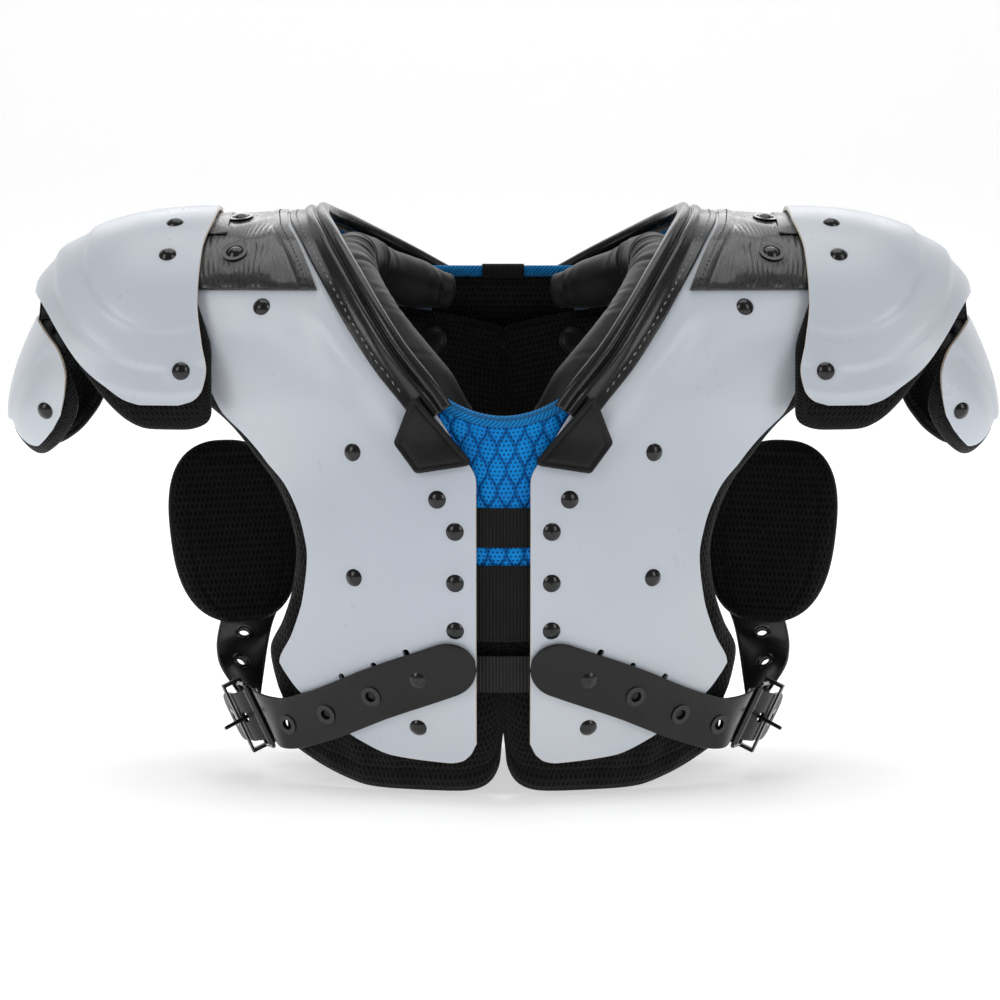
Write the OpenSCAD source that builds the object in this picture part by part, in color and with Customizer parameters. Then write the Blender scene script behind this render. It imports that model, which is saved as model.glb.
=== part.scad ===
// Football-style shoulder pads: two moulded body arches over a padded liner, hinged
// epaulets with deltoid caps, neck rolls and two buckled belts.
// X is across the shoulders (the wearer's left is +X), the chest faces -Y, +Z is up.
// The origin is on the ground, under the middle of the neck opening. Millimetres.

/* [Shells] */
// Wall thickness of the body arches
shell_t = 3.2; // [2.8:0.2:3.4]
// Wall thickness of the epaulet and deltoid shells
cap_t = 3.0; // [2.6:0.2:3.2]

/* [Padding] */
// Thickness of the body liner
liner_t = 13; // [9:1:14]
// Thickness of the epaulet pads
epaulet_pad_t = 7; // [5:1:8]
// Radius of the neck rolls
roll_r = 15; // [12:1:16]

/* [Belts] */
// Width of the belts
belt_w = 34; // [34:1:39]
// Thickness of the belts
belt_t = 2.2; // [1.8:0.2:2.4]
// Radius of the eyelet holes
eyelet_r = 3.8; // [3.6:0.1:4.2]

/* [Rivets] */
// Radius of the rivet heads
rivet_r = 5.4; // [4.5:0.1:6]
// Height of the rivet heads
rivet_h = 2.6; // [2:0.1:3]

/* [Hidden] */
WHITE = [0.88, 0.90, 0.93];
BLACK = [0.06, 0.06, 0.065];
VINYL = [0.09, 0.09, 0.10];
BLUE = [0.04, 0.38, 0.80];
STEEL = [0.12, 0.12, 0.13];

// ---- splines -------------------------------------------------------------
// Catmull-Rom through the rows of K at 0, 1, 2, ...
function sp(K, u) = let (n = len(K) - 1, i = min(max(floor(u), 0), n - 1), t = u - i,
  a = K[max(i - 1, 0)], b = K[i], c = K[i + 1], d = K[min(i + 2, n)])
  0.5 * (2 * b + (c - a) * t + (2 * a - 5 * b + 4 * c - d) * t * t + (3 * b - a - 3 * c + d) * t * t * t);
function unit(v) = v / norm(v);
function lerp(a, b, t) = a + (b - a) * t;

// ---- body surface --------------------------------------------------------
// Stations from below the chest, over the shoulder, to below the back:
// [y, z, x where the lateral curve starts, radius of the lateral curve]
PROFILE = [
  [-98, -18, 16, 190], [-112, 22, 16, 190], [-126, 62, 16, 190], [-136, 112, 16, 190],
  [-140, 160, 16, 190], [-138, 205, 22, 205], [-130, 247, 50, 270], [-110, 288.5, 80, 450],
  [-74, 325, 105, 1000], [-22, 345, 120, 1800], [34, 344, 117, 1800], [80, 324, 90, 1000],
  [108, 288, 40, 420], [122, 247, 20, 270], [128, 205, 16, 205], [128, 160, 16, 190],
  [124, 112, 16, 190], [116, 62, 16, 190], [106, 22, 16, 190], [94, -18, 16, 190]
];
// Neck-side edge of the arch, as x at each station
XI = [[0, 16], [4.7, 16], [4.85, 18], [5, 23], [5.35, 32], [5.85, 46], [6.5, 68], [7.3, 90],
  [8.1, 108], [9, 120], [9.6, 121], [10, 117], [10.5, 103], [11, 82], [11.5, 52], [11.8, 32],
  [12, 20], [12.2, 16], [19, 16]];
// Outer edge of the arch
XO = [[0, 124], [1, 128], [1.4, 134], [2, 137], [2.5, 128], [3, 121], [3.6, 118], [4, 121], [4.6, 131],
  [5, 143], [5.5, 158], [6, 172], [6.5, 181], [7, 186], [8, 187.5], [11, 187.5], [12, 186],
  [12.5, 181], [13, 172], [13.5, 158], [14, 143], [14.4, 131], [15, 121], [15.4, 118],
  [16, 121], [16.5, 128], [17, 137], [17.6, 134], [18, 128], [19, 124]];
// Where the lower end of the arch starts, across its width
U0 = [[0, 1.2], [0.03, 1.02], [0.08, 0.9], [0.15, 0.86], [0.45, 0.87], [0.65, 1.02], [0.8, 1.26], [0.92, 1.58], [1, 2]];
function xi(u) = lookup(u, XI);
function xo(u) = lookup(u, XO);
function S(u, x) = let (c = sp(PROFILE, u), p = sp(PROFILE, u + 0.03) - sp(PROFILE, u - 0.03),
  l = norm([p[0], p[1]]), h = -(x * x - c[2] * c[2]) / (2 * c[3]))
  [x, c[0] - p[1] / l * h, c[1] + p[0] / l * h];
function SN(u, x) = unit(cross(S(u, x + 1) - S(u, x - 1), S(u + 0.04, x) - S(u - 0.04, x)));
function SO(u, x, o) = S(u, x) + o * SN(u, x);
// Station of the chest (or back) surface at height z
function ufront(x, z, lo = -0.5, hi = 9, n = 16) = n == 0 ? (lo + hi) / 2
  : let (m = (lo + hi) / 2) S(m, x)[2] < z ? ufront(x, z, m, hi, n - 1) : ufront(x, z, lo, m, n - 1);
function uback(x, z, lo = 10, hi = 19.5, n = 16) = n == 0 ? (lo + hi) / 2
  : let (m = (lo + hi) / 2) S(m, x)[2] > z ? uback(x, z, m, hi, n - 1) : uback(x, z, lo, m, n - 1);
function ufb(x, z, back) = back ? uback(x, z) : ufront(x, z);

// ---- solids from grids ---------------------------------------------------
function flat1(g) = [for (r = g) for (p = r) p];
// Closed slab between an outer grid g and an inner grid h of the same size
module slab(g, h) {
  m = len(g); n = len(g[0]); k = m * n;
  polyhedron(points = concat(flat1(g), flat1(h)), faces = concat(
    [for (i = [0:m-2]) for (j = [0:n-2]) [i*n+j, (i+1)*n+j, (i+1)*n+j+1]],
    [for (i = [0:m-2]) for (j = [0:n-2]) [i*n+j, (i+1)*n+j+1, i*n+j+1]],
    [for (i = [0:m-2]) for (j = [0:n-2]) [k+i*n+j, k+(i+1)*n+j+1, k+(i+1)*n+j]],
    [for (i = [0:m-2]) for (j = [0:n-2]) [k+i*n+j, k+i*n+j+1, k+(i+1)*n+j+1]],
    [for (i = [0:m-2]) [i*n, k+i*n, k+(i+1)*n]], [for (i = [0:m-2]) [i*n, k+(i+1)*n, (i+1)*n]],
    [for (i = [0:m-2]) [i*n+n-1, k+(i+1)*n+n-1, k+i*n+n-1]], [for (i = [0:m-2]) [i*n+n-1, (i+1)*n+n-1, k+(i+1)*n+n-1]],
    [for (j = [0:n-2]) [j, k+j+1, k+j]], [for (j = [0:n-2]) [j, j+1, k+j+1]],
    [for (j = [0:n-2]) [(m-1)*n+j, k+(m-1)*n+j, k+(m-1)*n+j+1]], [for (j = [0:n-2]) [(m-1)*n+j, k+(m-1)*n+j+1, (m-1)*n+j+1]]));
}
// Closed loft through rings of equal size; the end rings are flat
module loft(R) {
  m = len(R); n = len(R[0]);
  polyhedron(points = flat1(R), faces = concat(
    [for (i = [0:m-2]) for (j = [0:n-1]) [i*n+j, (i+1)*n+j, (i+1)*n+(j+1)%n]],
    [for (i = [0:m-2]) for (j = [0:n-1]) [i*n+j, (i+1)*n+(j+1)%n, i*n+(j+1)%n]],
    [[for (j = [0:n-1]) j]], [[for (j = [n-1:-1:0]) (m-1)*n+j]]));
}
// Round tube along path P with radius list r, frames turned towards ref(i)
function tan3(P, i) = unit(P[min(i+1, len(P)-1)] - P[max(i-1, 0)]);
function rings(P, r, ref, n) = [for (i = [0:len(P)-1]) let (t = tan3(P, i), q = ref[i],
  a = unit(q - (q * t) * t), b = cross(t, a)) [for (j = [0:n-1]) P[i] + r[i] * (a * cos(360*j/n) + b * sin(360*j/n))]];

// Rivet: a low domed head standing on point p along d, with a shank behind it
module along(p, d) translate(p) rotate([0, acos(d[2]), atan2(d[1], d[0])]) children();
module rivet(p, d, r = rivet_r, h = rivet_h, shank = 5) along(p, d) {
  R = (r*r + h*h) / (2*h);
  intersection() {
    translate([0, 0, h - R]) sphere(r = R, $fn = 48);
    cylinder(r = r + 1, h = h + 1, $fn = 48);
  }
  translate([0, 0, -shank]) cylinder(r = 2.4, h = shank + 0.2, $fn = 24);
}
module washer(p, d, r = 8, h = 0.8) along(p, d) difference() {
  cylinder(r = r, h = h, $fn = 48);
  translate([0, 0, -1]) cylinder(r = rivet_r + 0.1, h = h + 2, $fn = 48);
}

// ---- body arch -----------------------------------------------------------
AR = 36; AC = 8;
function arch_grid(o) = [for (i = [0:AR]) [for (j = [0:AC]) let (t = j / AC, a = lookup(t, U0),
  u = a + (19 - 2 * a) * i / AR, x = lerp(xi(u), xo(u), t)) SO(u, x, o)]];
module arch() color(WHITE) slab(arch_grid(shell_t), arch_grid(0));

// Neck-edge frames: [point, outward across the edge, surface normal]
function edge_frame(u) = let (p = S(u, xi(u)), t = unit(S(u + 0.3, xi(u + 0.3)) - S(u - 0.3, xi(u - 0.3))),
  n0 = SN(u, xi(u)), b = unit(cross(t, n0)), n = cross(b, t)) [p, b, n];
function edge_sweep(sec, ua, ub, k) = [for (i = [0:k]) let (f = edge_frame(ua + (ub - ua) * i / k))
  [for (s = sec) f[0] + s[0] * f[1] + s[1] * f[2]]];
TRIM = [[13, 3.5], [13, 4.7], [4, 5.1], [2.6, 7], [0, 7.8], [-2, 6.6], [-3, 5.6], [-4.5, 7.8], [-7.2, 8.8],
  [-10, 7.4], [-11.2, 4.4], [-10.2, 1.4], [-7.2, -0.3], [-4, 0.2], [-1.4, 1.6], [-1.4, 3.7]];
module collar_trim() color(VINYL) loft(edge_sweep([for (i = [15:-1:0]) TRIM[i]], 6, 11.75, 34));
module neck_lining() color(BLUE) loft(edge_sweep([[-3.4, -2.4], [4, -2.4], [4, -5], [-3.4, -5]], 6.05, 11.2, 26));

// Neck roll path, from the chest over the shoulder to the nape
ROLL = [[26, -112, 224], [42, -112, 242.5], [60, -101.5, 264], [80.5, -82, 288.5], [93.5, -49, 308.5], [97, -10, 319],
  [93, 27, 319], [79, 56, 310], [57, 76, 301.5], [34, 85, 296]];
module neck_roll() color(BLACK) {
  P = [for (i = [0:27]) sp(ROLL, i / 3)];
  loft(rings(P, [for (i = [0:27]) roll_r * min(1, 0.72 + 0.1 * min(i, 27 - i))], [for (p = P) [p[0], p[1] * 0.8, 0]], 10));
}

// Triangular badge at the front end of the collar
BADGE_X = [[197, 58], [205, 63.5], [222, 55.5], [240, 48]];
function badge_grid(o) = [for (i = [0:6]) [for (j = [0:4]) let (z = 197 + 43 * i / 6, x0 = lerp(17, 45, i / 6),
  x = lerp(x0, lookup(z, BADGE_X), j / 4)) SO(ufront(x, z), x, o)]];
module neck_badge() color(VINYL) slab(badge_grid(8), badge_grid(3.8));

// Vinyl strap from the collar to the epaulet
function strap_grid(o) = [for (i = [0:14]) [for (j = [0:5]) let (x0 = lookup(i / 14, [[0, 112], [0.16, 124], [0.3, 133], [0.5, 136], [0.7, 135], [0.85, 124], [1, 112]]),
  x = lerp(x0, 175.5, j / 5), a = ufront(x, 302), b = uback(x, 302)) SO(lerp(a, b, i / 14), x, o)]];
module epaulet_strap() color(VINYL) slab(strap_grid(5.4), strap_grid(3.6));

// ---- liner pads ----------------------------------------------------------
LO = 5.6;
LXI = [[0, 6], [0.9, 3.2], [1.5, 1], [4.8, 1], [5, 24], [5.35, 46], [5.85, 64], [6.5, 86], [7.3, 108]];
LXIB = [[12, 0.8], [17.5, 0.8], [18.1, 3.2], [19, 6]];
FLOOR = -8;
FOOT = [[1, 4], [8, -8], [16, -14], [26, -17], [84, -17], [98, -13], [118, -1], [142, 14]];
function front_grid(o) = [for (i = [0:13]) [for (j = [0:7]) let (t = j / 7, xb = lerp(1, 142, t), a = ufront(xb, lookup(xb, FOOT)),
  u = a + (7.25 - a) * i / 13, x = lerp(lookup(u, LXI), xo(u) + 8 + 6 * t, t)) SO(u, x, o)]];
module front_liner() color(BLACK) difference() {
  slab(front_grid(-LO), front_grid(-LO - liner_t));
  translate([-50, -300, FLOOR - 40]) cube([300, 600, 40]);
}
function back_grid(o) = [for (i = [0:13]) [for (j = [0:7]) let (t = j / 7, xb = lerp(1, 142, t), b = uback(xb, lookup(xb, FOOT)),
  a = lookup(t, [[0, 12.35], [0.3, 12], [0.6, 11.75], [1, 11.75]]), u = a + (b - a) * i / 13, x = lerp(lookup(u, LXIB), xo(u) + 8 + 6 * t, t)) SO(u, x, o)]];
module back_liner() color(BLACK) difference() {
  slab(back_grid(-LO), back_grid(-LO - liner_t));
  translate([-50, -300, FLOOR - 40]) cube([300, 600, 40]);
}
function shoulder_grid(o) = [for (i = [0:10]) [for (j = [0:5]) let (u = 7.4 + 4.2 * i / 10, x0 = lookup(u, [[7.4, 112], [8.1, 121], [9, 127], [10, 126], [10.5, 118], [11.2, 106], [11.6, 100]]),
  x = lerp(x0, 196, j / 5)) SO(u, x, o)]];
module shoulder_liner() color(BLACK) slab(shoulder_grid(-LO), shoulder_grid(-LO - liner_t));

// ---- centre pieces, across both halves -----------------------------------
function bibtop(x) = 224 + 18 * x * x / 2116;
function cross_grid(o, w, z0, z1, n, m, back) = [for (i = [0:m]) [for (j = [0:n]) let (x = lerp(-w, w, j / n),
  z = lerp(z0, z1, i / m)) SO(ufb(x, z, back), x, o)]];
function bib_grid(o) = [for (i = [0:10]) [for (j = [0:14]) let (x = lerp(-46, 46, j / 14), z = lerp(122, bibtop(x), i / 10)) SO(ufront(x, z), x, o)]];
module chest_bib() color(BLUE) slab(bib_grid(-2.8), bib_grid(-5.2));
module bib_binding() color(BLUE) {
  P = [for (i = [0:20]) let (x = lerp(-41, 41, i / 20), z = bibtop(x) + 3.7) SO(ufront(x, z), x, -3.9)];
  loft(rings(P, [for (p = P) 3], [for (p = P) [0, -1, 0]], 10));
}
module chest_strap(z0, z1, w) color(BLACK) slab(cross_grid(-0.6, w, z0, z1, 8, 3, false), cross_grid(-2.4, w, z0, z1, 8, 3, false));
module back_strap(z0, z1, w) color(BLACK) slab(cross_grid(-0.6, w, z1, z0, 8, 3, true), cross_grid(-2.4, w, z1, z0, 8, 3, true));
function nape_grid(o) = [for (i = [0:4]) [for (j = [0:8]) let (z = lerp(313, 292, i / 4), x = lerp(-1, 1, j / 8) * lerp(56, 36, i / 4)) SO(uback(x, z), x, o)]];
module nape_bridge() color(BLACK) slab(nape_grid(-0.6), nape_grid(-2.4));

// ---- rivets of the body --------------------------------------------------
FR = [[146, 293], [89.5, 208], [89, 132], [39, 181], [28.5, 162], [28.5, 131], [28.5, 102], [51, 40]];
module arch_rivets_half() for (q = FR) for (b = [false, true]) let (u = ufb(q[0], q[1], b), n = SN(u, q[0]))
  rivet(SO(u, q[0], shell_t), n);
SRU = [8.12, 9, 10, 10.88];
module strap_rivets_half() for (u = SRU) let (n = SN(u, 164)) {
  rivet(SO(u, 164, 5.4), n, shank = 7);
  washer(SO(u, 164, 5.4), n);
}

// ---- buckle frame of reference -------------------------------------------
// Local x points away from the body, y to the back, z along the bars
HEEL = [160.5, -12, 30]; BT = 24.8; BY = -16; PITCH = 25;
BN = [cos(BT)*cos(BY), sin(BY), -sin(BT)*cos(BY)];
BB = [-cos(BT)*sin(BY), cos(BY), sin(BT)*sin(BY)];
BW = [sin(BT), 0, cos(BT)];
function bk(n, b, w = 0) = HEEL + n*BN + b*BB + w*BW;
module at_buckle() translate(HEEL) rotate([0, BT, 0]) rotate([0, 0, BY]) children();

// ---- belts ---------------------------------------------------------------
// A key is [point, width direction]; the strip reaches hw to each side of the point
function strip(K, hw, th) = [for (i = [0:len(K)-1]) let (p = [K[i][0], K[i][1], K[i][2]],
  a = K[max(i-1, 0)], b = K[min(i+1, len(K)-1)], t = unit([b[0]-a[0], b[1]-a[1], b[2]-a[2]]),
  w0 = [K[i][3], K[i][4], K[i][5]], w = unit(w0 - (w0 * t) * t), n = cross(w, t))
  [p - hw[i]*w - th/2*n, p - hw[i]*w + th/2*n, p + hw[i]*w + th/2*n, p + hw[i]*w - th/2*n]];
// Key on the shell at (x, z), width direction across the run (dx, dz)
function station(x, z, dx, dz, back, o) = let (u = ufb(x, z, back), p = SO(u, x, o), n = SN(u, x),
  v = ufb(x + dx, z + dz, back), t = unit(SO(v, x + dx, o) - p)) concat(p, unit(cross(n, t)));
FB_X = [[0, 16.5], [19, 34], [36, 50], [51, 64], [66.5, 78], [82, 92], [97.5, 105.6], [111, 118], [125, 131]];
FB_Z = [[0, 85], [19, 77.8], [36, 71.5], [51, 66], [66.5, 60], [82, 53], [97.5, 46], [111, 40.5], [125, 35.5]];
function fbs(s) = station(lookup(s, FB_X), lookup(s, FB_Z), 9, -4.2, false, 5.6);
FB_S = [1, 4, 9, 14, 19, 30, 42, 54, 66.5, 78, 90, 97.5, 106, 115];
FB_KEYS = [fbs(106), fbs(122), concat([141.5, -66.5, 34], unit([0.33, 0.05, 0.94])), concat(bk(-1.6, -40), BW), concat(bk(-4.4, -25.5), BW),
  concat(bk(-1.5, -14), BW), concat(bk(3, -5.5), BW), concat(bk(5.2, 1), BW), concat(bk(5.6, 9), BW), concat(bk(6.2, 20), BW), concat(bk(8, 32), BW)];
FB_P = [1, 1.5, 2, 2.5, 3, 3.5, 4, 4.5, 5, 5.5, 6, 6.5, 7, 7.5, 8, 8.5, 9, 9.5, 9.8, 10];
FB = concat([for (s = FB_S) fbs(s)], [for (p = FB_P) sp(FB_KEYS, p)]);
FB_N = len(FB);
FB_HW = [for (i = [0:FB_N-1]) belt_w/2 * (i < 5 ? sqrt(1 - pow((19 - FB_S[i])/19, 2)) : i == FB_N-1 ? 0.5 : i == FB_N-2 ? 0.82 : 1)];
function axis_of(K) = let (p = [K[0], K[1], K[2]], w = [K[3], K[4], K[5]]) [p, w];
// Eyelet places: [point, outward direction]
PRONG_D = -17;
EYES = concat([for (s = [66.5, 97.5, 124]) let (x = lookup(s, FB_X), z = lookup(s, FB_Z), u = ufront(x, z)) [SO(u, x, 5.6), SN(u, x)]],
  [[bk(5, -1.5), cos(PRONG_D)*BN + sin(PRONG_D)*BB], [bk(6.4, 24), BN]]);
module front_belt() color(VINYL) difference() {
  loft(strip(FB, FB_HW, belt_t));
  for (e = EYES) along(e[0] - 6*e[1], e[1]) cylinder(r = eyelet_r, h = 12, $fn = 32);
}
RB_KEYS = [concat(bk(0, 4.2), BW), concat(bk(-0.4, 12, 1.2), BW), [166.5, 10, 35, 0.5, -0.1, 0.86], [170, 24, 43.5, 0.66, -0.15, 0.73], [172, 39, 54, 0.84, -0.15, 0.5],
  [172, 56, 67, 0.94, -0.05, 0.25], [169, 74, 82, 0.96, 0.1, 0.15], [161, 87, 99, 0.9, 0.2, 0.3], [149, 94, 115, 0.75, 0.1, 0.6], [135.5, 95.5, 128, 0.6, -0.1, 0.78],
  station(118, 141, -12, 8, true, 5.8), station(100, 152, -12, 8, true, 5.6), station(84, 161, -12, 7, true, 5.6), station(77, 164.5, -12, 7, true, 5.6)];
RB = concat([for (i = [0:23]) sp(RB_KEYS, i / 2)], [sp(RB_KEYS, 11.9), sp(RB_KEYS, 12.4), RB_KEYS[13]]);
RB_HW = [for (i = [0:26]) belt_w/2 * (i == 26 ? 0.4 : i == 25 ? 0.85 : 1)];
module rear_belt() color(VINYL) {
  difference() {
    union() {
      loft(strip(RB, RB_HW, belt_t));
      at_buckle() for (s = [-1, 1]) translate([0, 0, 12*s - 6]) {
        cylinder(r = 3.3, h = 12, $fn = 32);
        translate([-1.6, 0, 0]) cube([3.2, 5.6, 12]);
      }
    }
    at_buckle() translate([0, 0, -40]) cylinder(r = 1.48, h = 80, $fn = 32);
    for (k = [4.1, 5.3, 6.4]) let (a = sp(RB_KEYS, k), b = sp(RB_KEYS, k + 0.1), p = [a[0], a[1], a[2]],
      n = unit(cross([a[3], a[4], a[5]], [b[0] - a[0], b[1] - a[1], b[2] - a[2]]))) along(p - 5*n, n) cylinder(r = eyelet_r, h = 10, $fn = 32);
  }
}
module eyelet(p, d) along(p, d) difference() {
  union() { translate([0, 0, belt_t/2 + 0.05]) cylinder(r = 6.4, h = 0.8, $fn = 40); translate([0, 0, -belt_t/2 - 0.2]) cylinder(r = eyelet_r - 0.05, h = belt_t + 0.4, $fn = 40); }
  translate([0, 0, -5]) cylinder(r = eyelet_r - 0.4, h = 10, $fn = 40);
}
module belt_eyelets_half() color(STEEL) for (i = [0, 1, 2, 4]) eyelet(EYES[i][0], EYES[i][1]);
module belt_rivets_half() color(STEEL) for (q = [[50, 71.5, false], [92, 157, true]]) let (u = ufb(q[0], q[1], q[2]), n = SN(u, q[0]))
  rivet(SO(u, q[0], 6.7), n, r = 5, h = 1.8, shank = 7);
module belt_keeper() color(VINYL) at_buckle() translate([2.6, 9.4, 0]) difference() {
  cube([12.8, 6.4, 48], center = true);
  cube([10, 20, 43.4], center = true);
}

// ---- buckle --------------------------------------------------------------
module buckle_frame() color(STEEL) at_buckle() {
  for (s = [-1, 1]) {
    translate([0, -PITCH, 22*s]) rotate([-90, 0, 0]) cylinder(r = 1.4, h = PITCH, $fn = 48);
    translate([0, 0, 22*s]) sphere(r = 1.4, $fn = 48);
    translate([0, -PITCH, 22*s]) sphere(r = 1.4, $fn = 48);
  }
  translate([0, 0, -22]) cylinder(r = 1.4, h = 44, $fn = 48);
  translate([0, -PITCH, -22]) cylinder(r = 1.4, h = 44, $fn = 48);
}
module buckle_roller() color(STEEL) at_buckle() translate([0, -PITCH, -19.5]) difference() {
  cylinder(r = 2.6, h = 39, $fn = 48);
  translate([0, 0, -1]) cylinder(r = 1.48, h = 41, $fn = 48);
}
module buckle_prong() color(STEEL) at_buckle() rotate([0, 0, PRONG_D]) difference() {
  union() {
    translate([0, 0, -3]) cylinder(r = 2.9, h = 6, $fn = 64);
    translate([1, 0, 0]) rotate([0, 90, 0]) cylinder(r = 1.3, h = 20, $fn = 64);
    translate([21, 0, 0]) sphere(r = 1.3, $fn = 64);
  }
  translate([0, 0, -10]) cylinder(r = 1.48, h = 20, $fn = 64);
}

// ---- epaulet: a superelliptic dome arched over the shoulder ---------------
CX = 176; CZ = 240; CL = 128; CRY = 108; CRZ = 114; PS = 0.97; PP = 1.02;
function cap3(phi, tau) = let (e = pow(cos(tau), 0.6), a = pow(sin(tau), 0.8)) [CX + CL*a, CRY*e*sin(phi), CZ + CRZ*e*cos(phi)];
function capN(phi, tau) = unit(cross(cap3(phi, tau + 0.4) - cap3(phi, tau - 0.4), cap3(phi + 0.5, tau) - cap3(phi - 0.5, tau)));
function capO(phi, tau, o) = cap3(phi, tau) + o * capN(phi, tau);
function tau_x(x) = max(asin(pow(max((x - CX) / CL, 0.0001), 1.25)), 0.5);
CUP_I = [[0, 178], [20, 180], [40, 185], [60, 186], [75, 183], [84, 180], [90, 182], [94, 188], [95.5, 197]];
CUP_O = [[0, 298], [20, 296], [40, 290], [60, 279], [75, 266], [84, 254], [90, 241], [94, 230], [95.5, 221]];
CUPPHI = [-95.5, -94, -91, -87, -81, -74, -66, -57, -48, -39, -30, -20, -10, 0, 10, 20, 30, 39, 48, 57, 66, 74, 81, 87, 91, 94, 95.5];
function cup_grid(o) = [for (p = CUPPHI) [for (j = [0:9]) let (t = j / 9, a = tau_x(lookup(abs(p), CUP_I)), b = tau_x(lookup(abs(p), CUP_O))) capO(p * PS, lerp(a, b, t), o)]];
module epaulet_cup() color(WHITE) slab(cup_grid(0), cup_grid(-cap_t));
PAD_I = [[0, 199], [20, 199], [35, 197], [50, 192], [70, 180], [84, 173], [91, 173], [96, 179], [98.5, 190]];
PAD_O = [[0, 290], [20, 289], [40, 285], [60, 276], [75, 264], [84, 252], [91, 241], [96, 230], [98.5, 220]];
PADPHI = [-98.5, -96, -91, -84, -75, -64, -52, -40, -28, -14, 0, 14, 28, 40, 52, 64, 75, 84, 91, 96, 98.5];
function pad_grid(o, e) = [for (p = PADPHI) [for (j = [0:7]) let (t = j / 7, a = tau_x(lookup(abs(p), PAD_I)), b = tau_x(lookup(abs(p), PAD_O)), k = (j == 0 || j == 7 || abs(p) > 98) ? e : o) capO(p * PP, lerp(a, b, t), k)]];
module epaulet_pad() color(BLACK) slab(pad_grid(-6, -6), pad_grid(-6 - epaulet_pad_t, -9));
function tab_grid(o) = [for (i = [0:8]) [for (j = [0:4]) let (p = -27 + 54 * i / 8, x0 = lookup(abs(p), [[0, 180], [16, 183], [28, 190]])) capO(p, lerp(tau_x(x0), tau_x(222), j / 4), o)]];
module epaulet_tab() color(VINYL) slab(tab_grid(-3.6), tab_grid(-5.1));
ER = [[-41, 206], [-23, 204], [23, 204], [41, 206], [-82, 195], [82, 195]];
module epaulet_rivets() color(BLACK) for (q = ER) rivet(capO(q[0], tau_x(q[1]), 0), capN(q[0], tau_x(q[1])), shank = abs(q[0]) > 80 ? 9 : 6);

// ---- deltoid cap: a smaller dome turned outward and down -------------------
DO = [246.7, 278]; DL = 100; DRB = 46; DRY = 85;
function del3(phi, tau) = let (e = pow(cos(tau), 0.8), a = DL * pow(sin(tau), 0.8), b = DRB*e*cos(phi))
  [DO[0] + 0.5*a + 0.866*b, DRY*e*sin(phi), DO[1] - 0.866*a + 0.5*b];
function delN(phi, tau) = unit(cross(del3(phi, tau + 0.4) - del3(phi, tau - 0.4), del3(phi + 0.5, tau) - del3(phi - 0.5, tau)));
function delO(phi, tau, o) = del3(phi, tau) + o * delN(phi, tau);
function tau_a(a) = asin(pow(a / DL, 1.25));
DEL_I = [[0, 18], [30, 18], [60, 21], [80, 31], [90, 46], [95, 58]];
DEL_O = [[0, 80], [40, 82], [75, 86], [88, 84], [93, 76], [95, 68]];
DELPHI = [-95, -93, -88, -80, -68, -54, -40, -26, -13, 0, 13, 26, 40, 54, 68, 80, 88, 93, 95];
function del_grid(o) = [for (p = DELPHI) [for (j = [0:7]) delO(p, lerp(tau_a(lookup(abs(p), DEL_I)), tau_a(lookup(abs(p), DEL_O)), j / 7), o)]];
module deltoid_cap() color(WHITE) slab(del_grid(0), del_grid(-cap_t));
DPI = [[0, 21], [30, 21], [60, 24], [75, 31], [85, 36], [95, 42], [106, 50], [110, 60]];
DPO = [[0, 90], [40, 92], [75, 95], [90, 95], [100, 92], [106, 86], [110, 78]];
DPPHI = [-110, -106, -99, -90, -79, -66, -52, -38, -25, -12, 0, 12, 25, 38, 52, 66, 79, 90, 99, 106, 110];
function dpad_grid(o, e) = [for (p = DPPHI) [for (j = [0:7]) delO(p, lerp(tau_a(lookup(abs(p), DPI)), tau_a(lookup(abs(p), DPO)), j / 7), (j == 0 || j == 7 || abs(p) > 109) ? e : o)]];
module deltoid_pad() color(BLACK) slab(dpad_grid(-3.4, -4), dpad_grid(-14, -9));
function web_grid(o) = [for (i = [0:4]) [for (j = [0:3]) delO(-24 + 12*i, lerp(tau_a(24), tau_a(44), j / 3), o)]];
module deltoid_web() color(BLACK) slab(web_grid(-14.4), web_grid(-16.4));
DR = [[-81, 60], [81, 60]];
module deltoid_rivets() color(BLACK) for (q = DR) rivet(delO(q[0], tau_a(q[1]), 0), delN(q[0], tau_a(q[1])), shank = 8);

// ---- side pads -------------------------------------------------------------
function side_grid(s) = [for (i = [0:10]) [for (j = [0:8]) let (v = i / 10 * 2 - 1, t = j / 8 * 2 - 1, z = 140 + 59 * v,
  w = max(38 * pow(max(1 - pow(abs(v), 2.6), 0), 1/2.6), 14), x = 177 + 0.1 * (z - 140) + w * t,
  y = 73 - 0.46 * (x - 132), e = (i == 0 || i == 10 || j == 0 || j == 8) ? 2.5 : 6)
  [x + 0.41 * s * e, y + 0.91 * s * e, z]]];
module side_pad() color(BLACK) slab(side_grid(-1), side_grid(1));

// ---- snaps on the back liner ----------------------------------------------
module liner_snaps_half() color(VINYL) let (u = uback(50, 268), n = SN(u, 50)) along(SO(u, 50, -LO - liner_t - 3.4), n) {
  cylinder(r = 10, h = 3.2, $fn = 48);
}

// Placing: the whole part is moved so that its depth is centred on the origin
YS = 7;
module L() translate([0, YS, -FLOOR]) children();
module R() translate([0, YS, -FLOOR]) mirror([1, 0, 0]) children();
module both() { L() children(); R() children(); }

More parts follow.
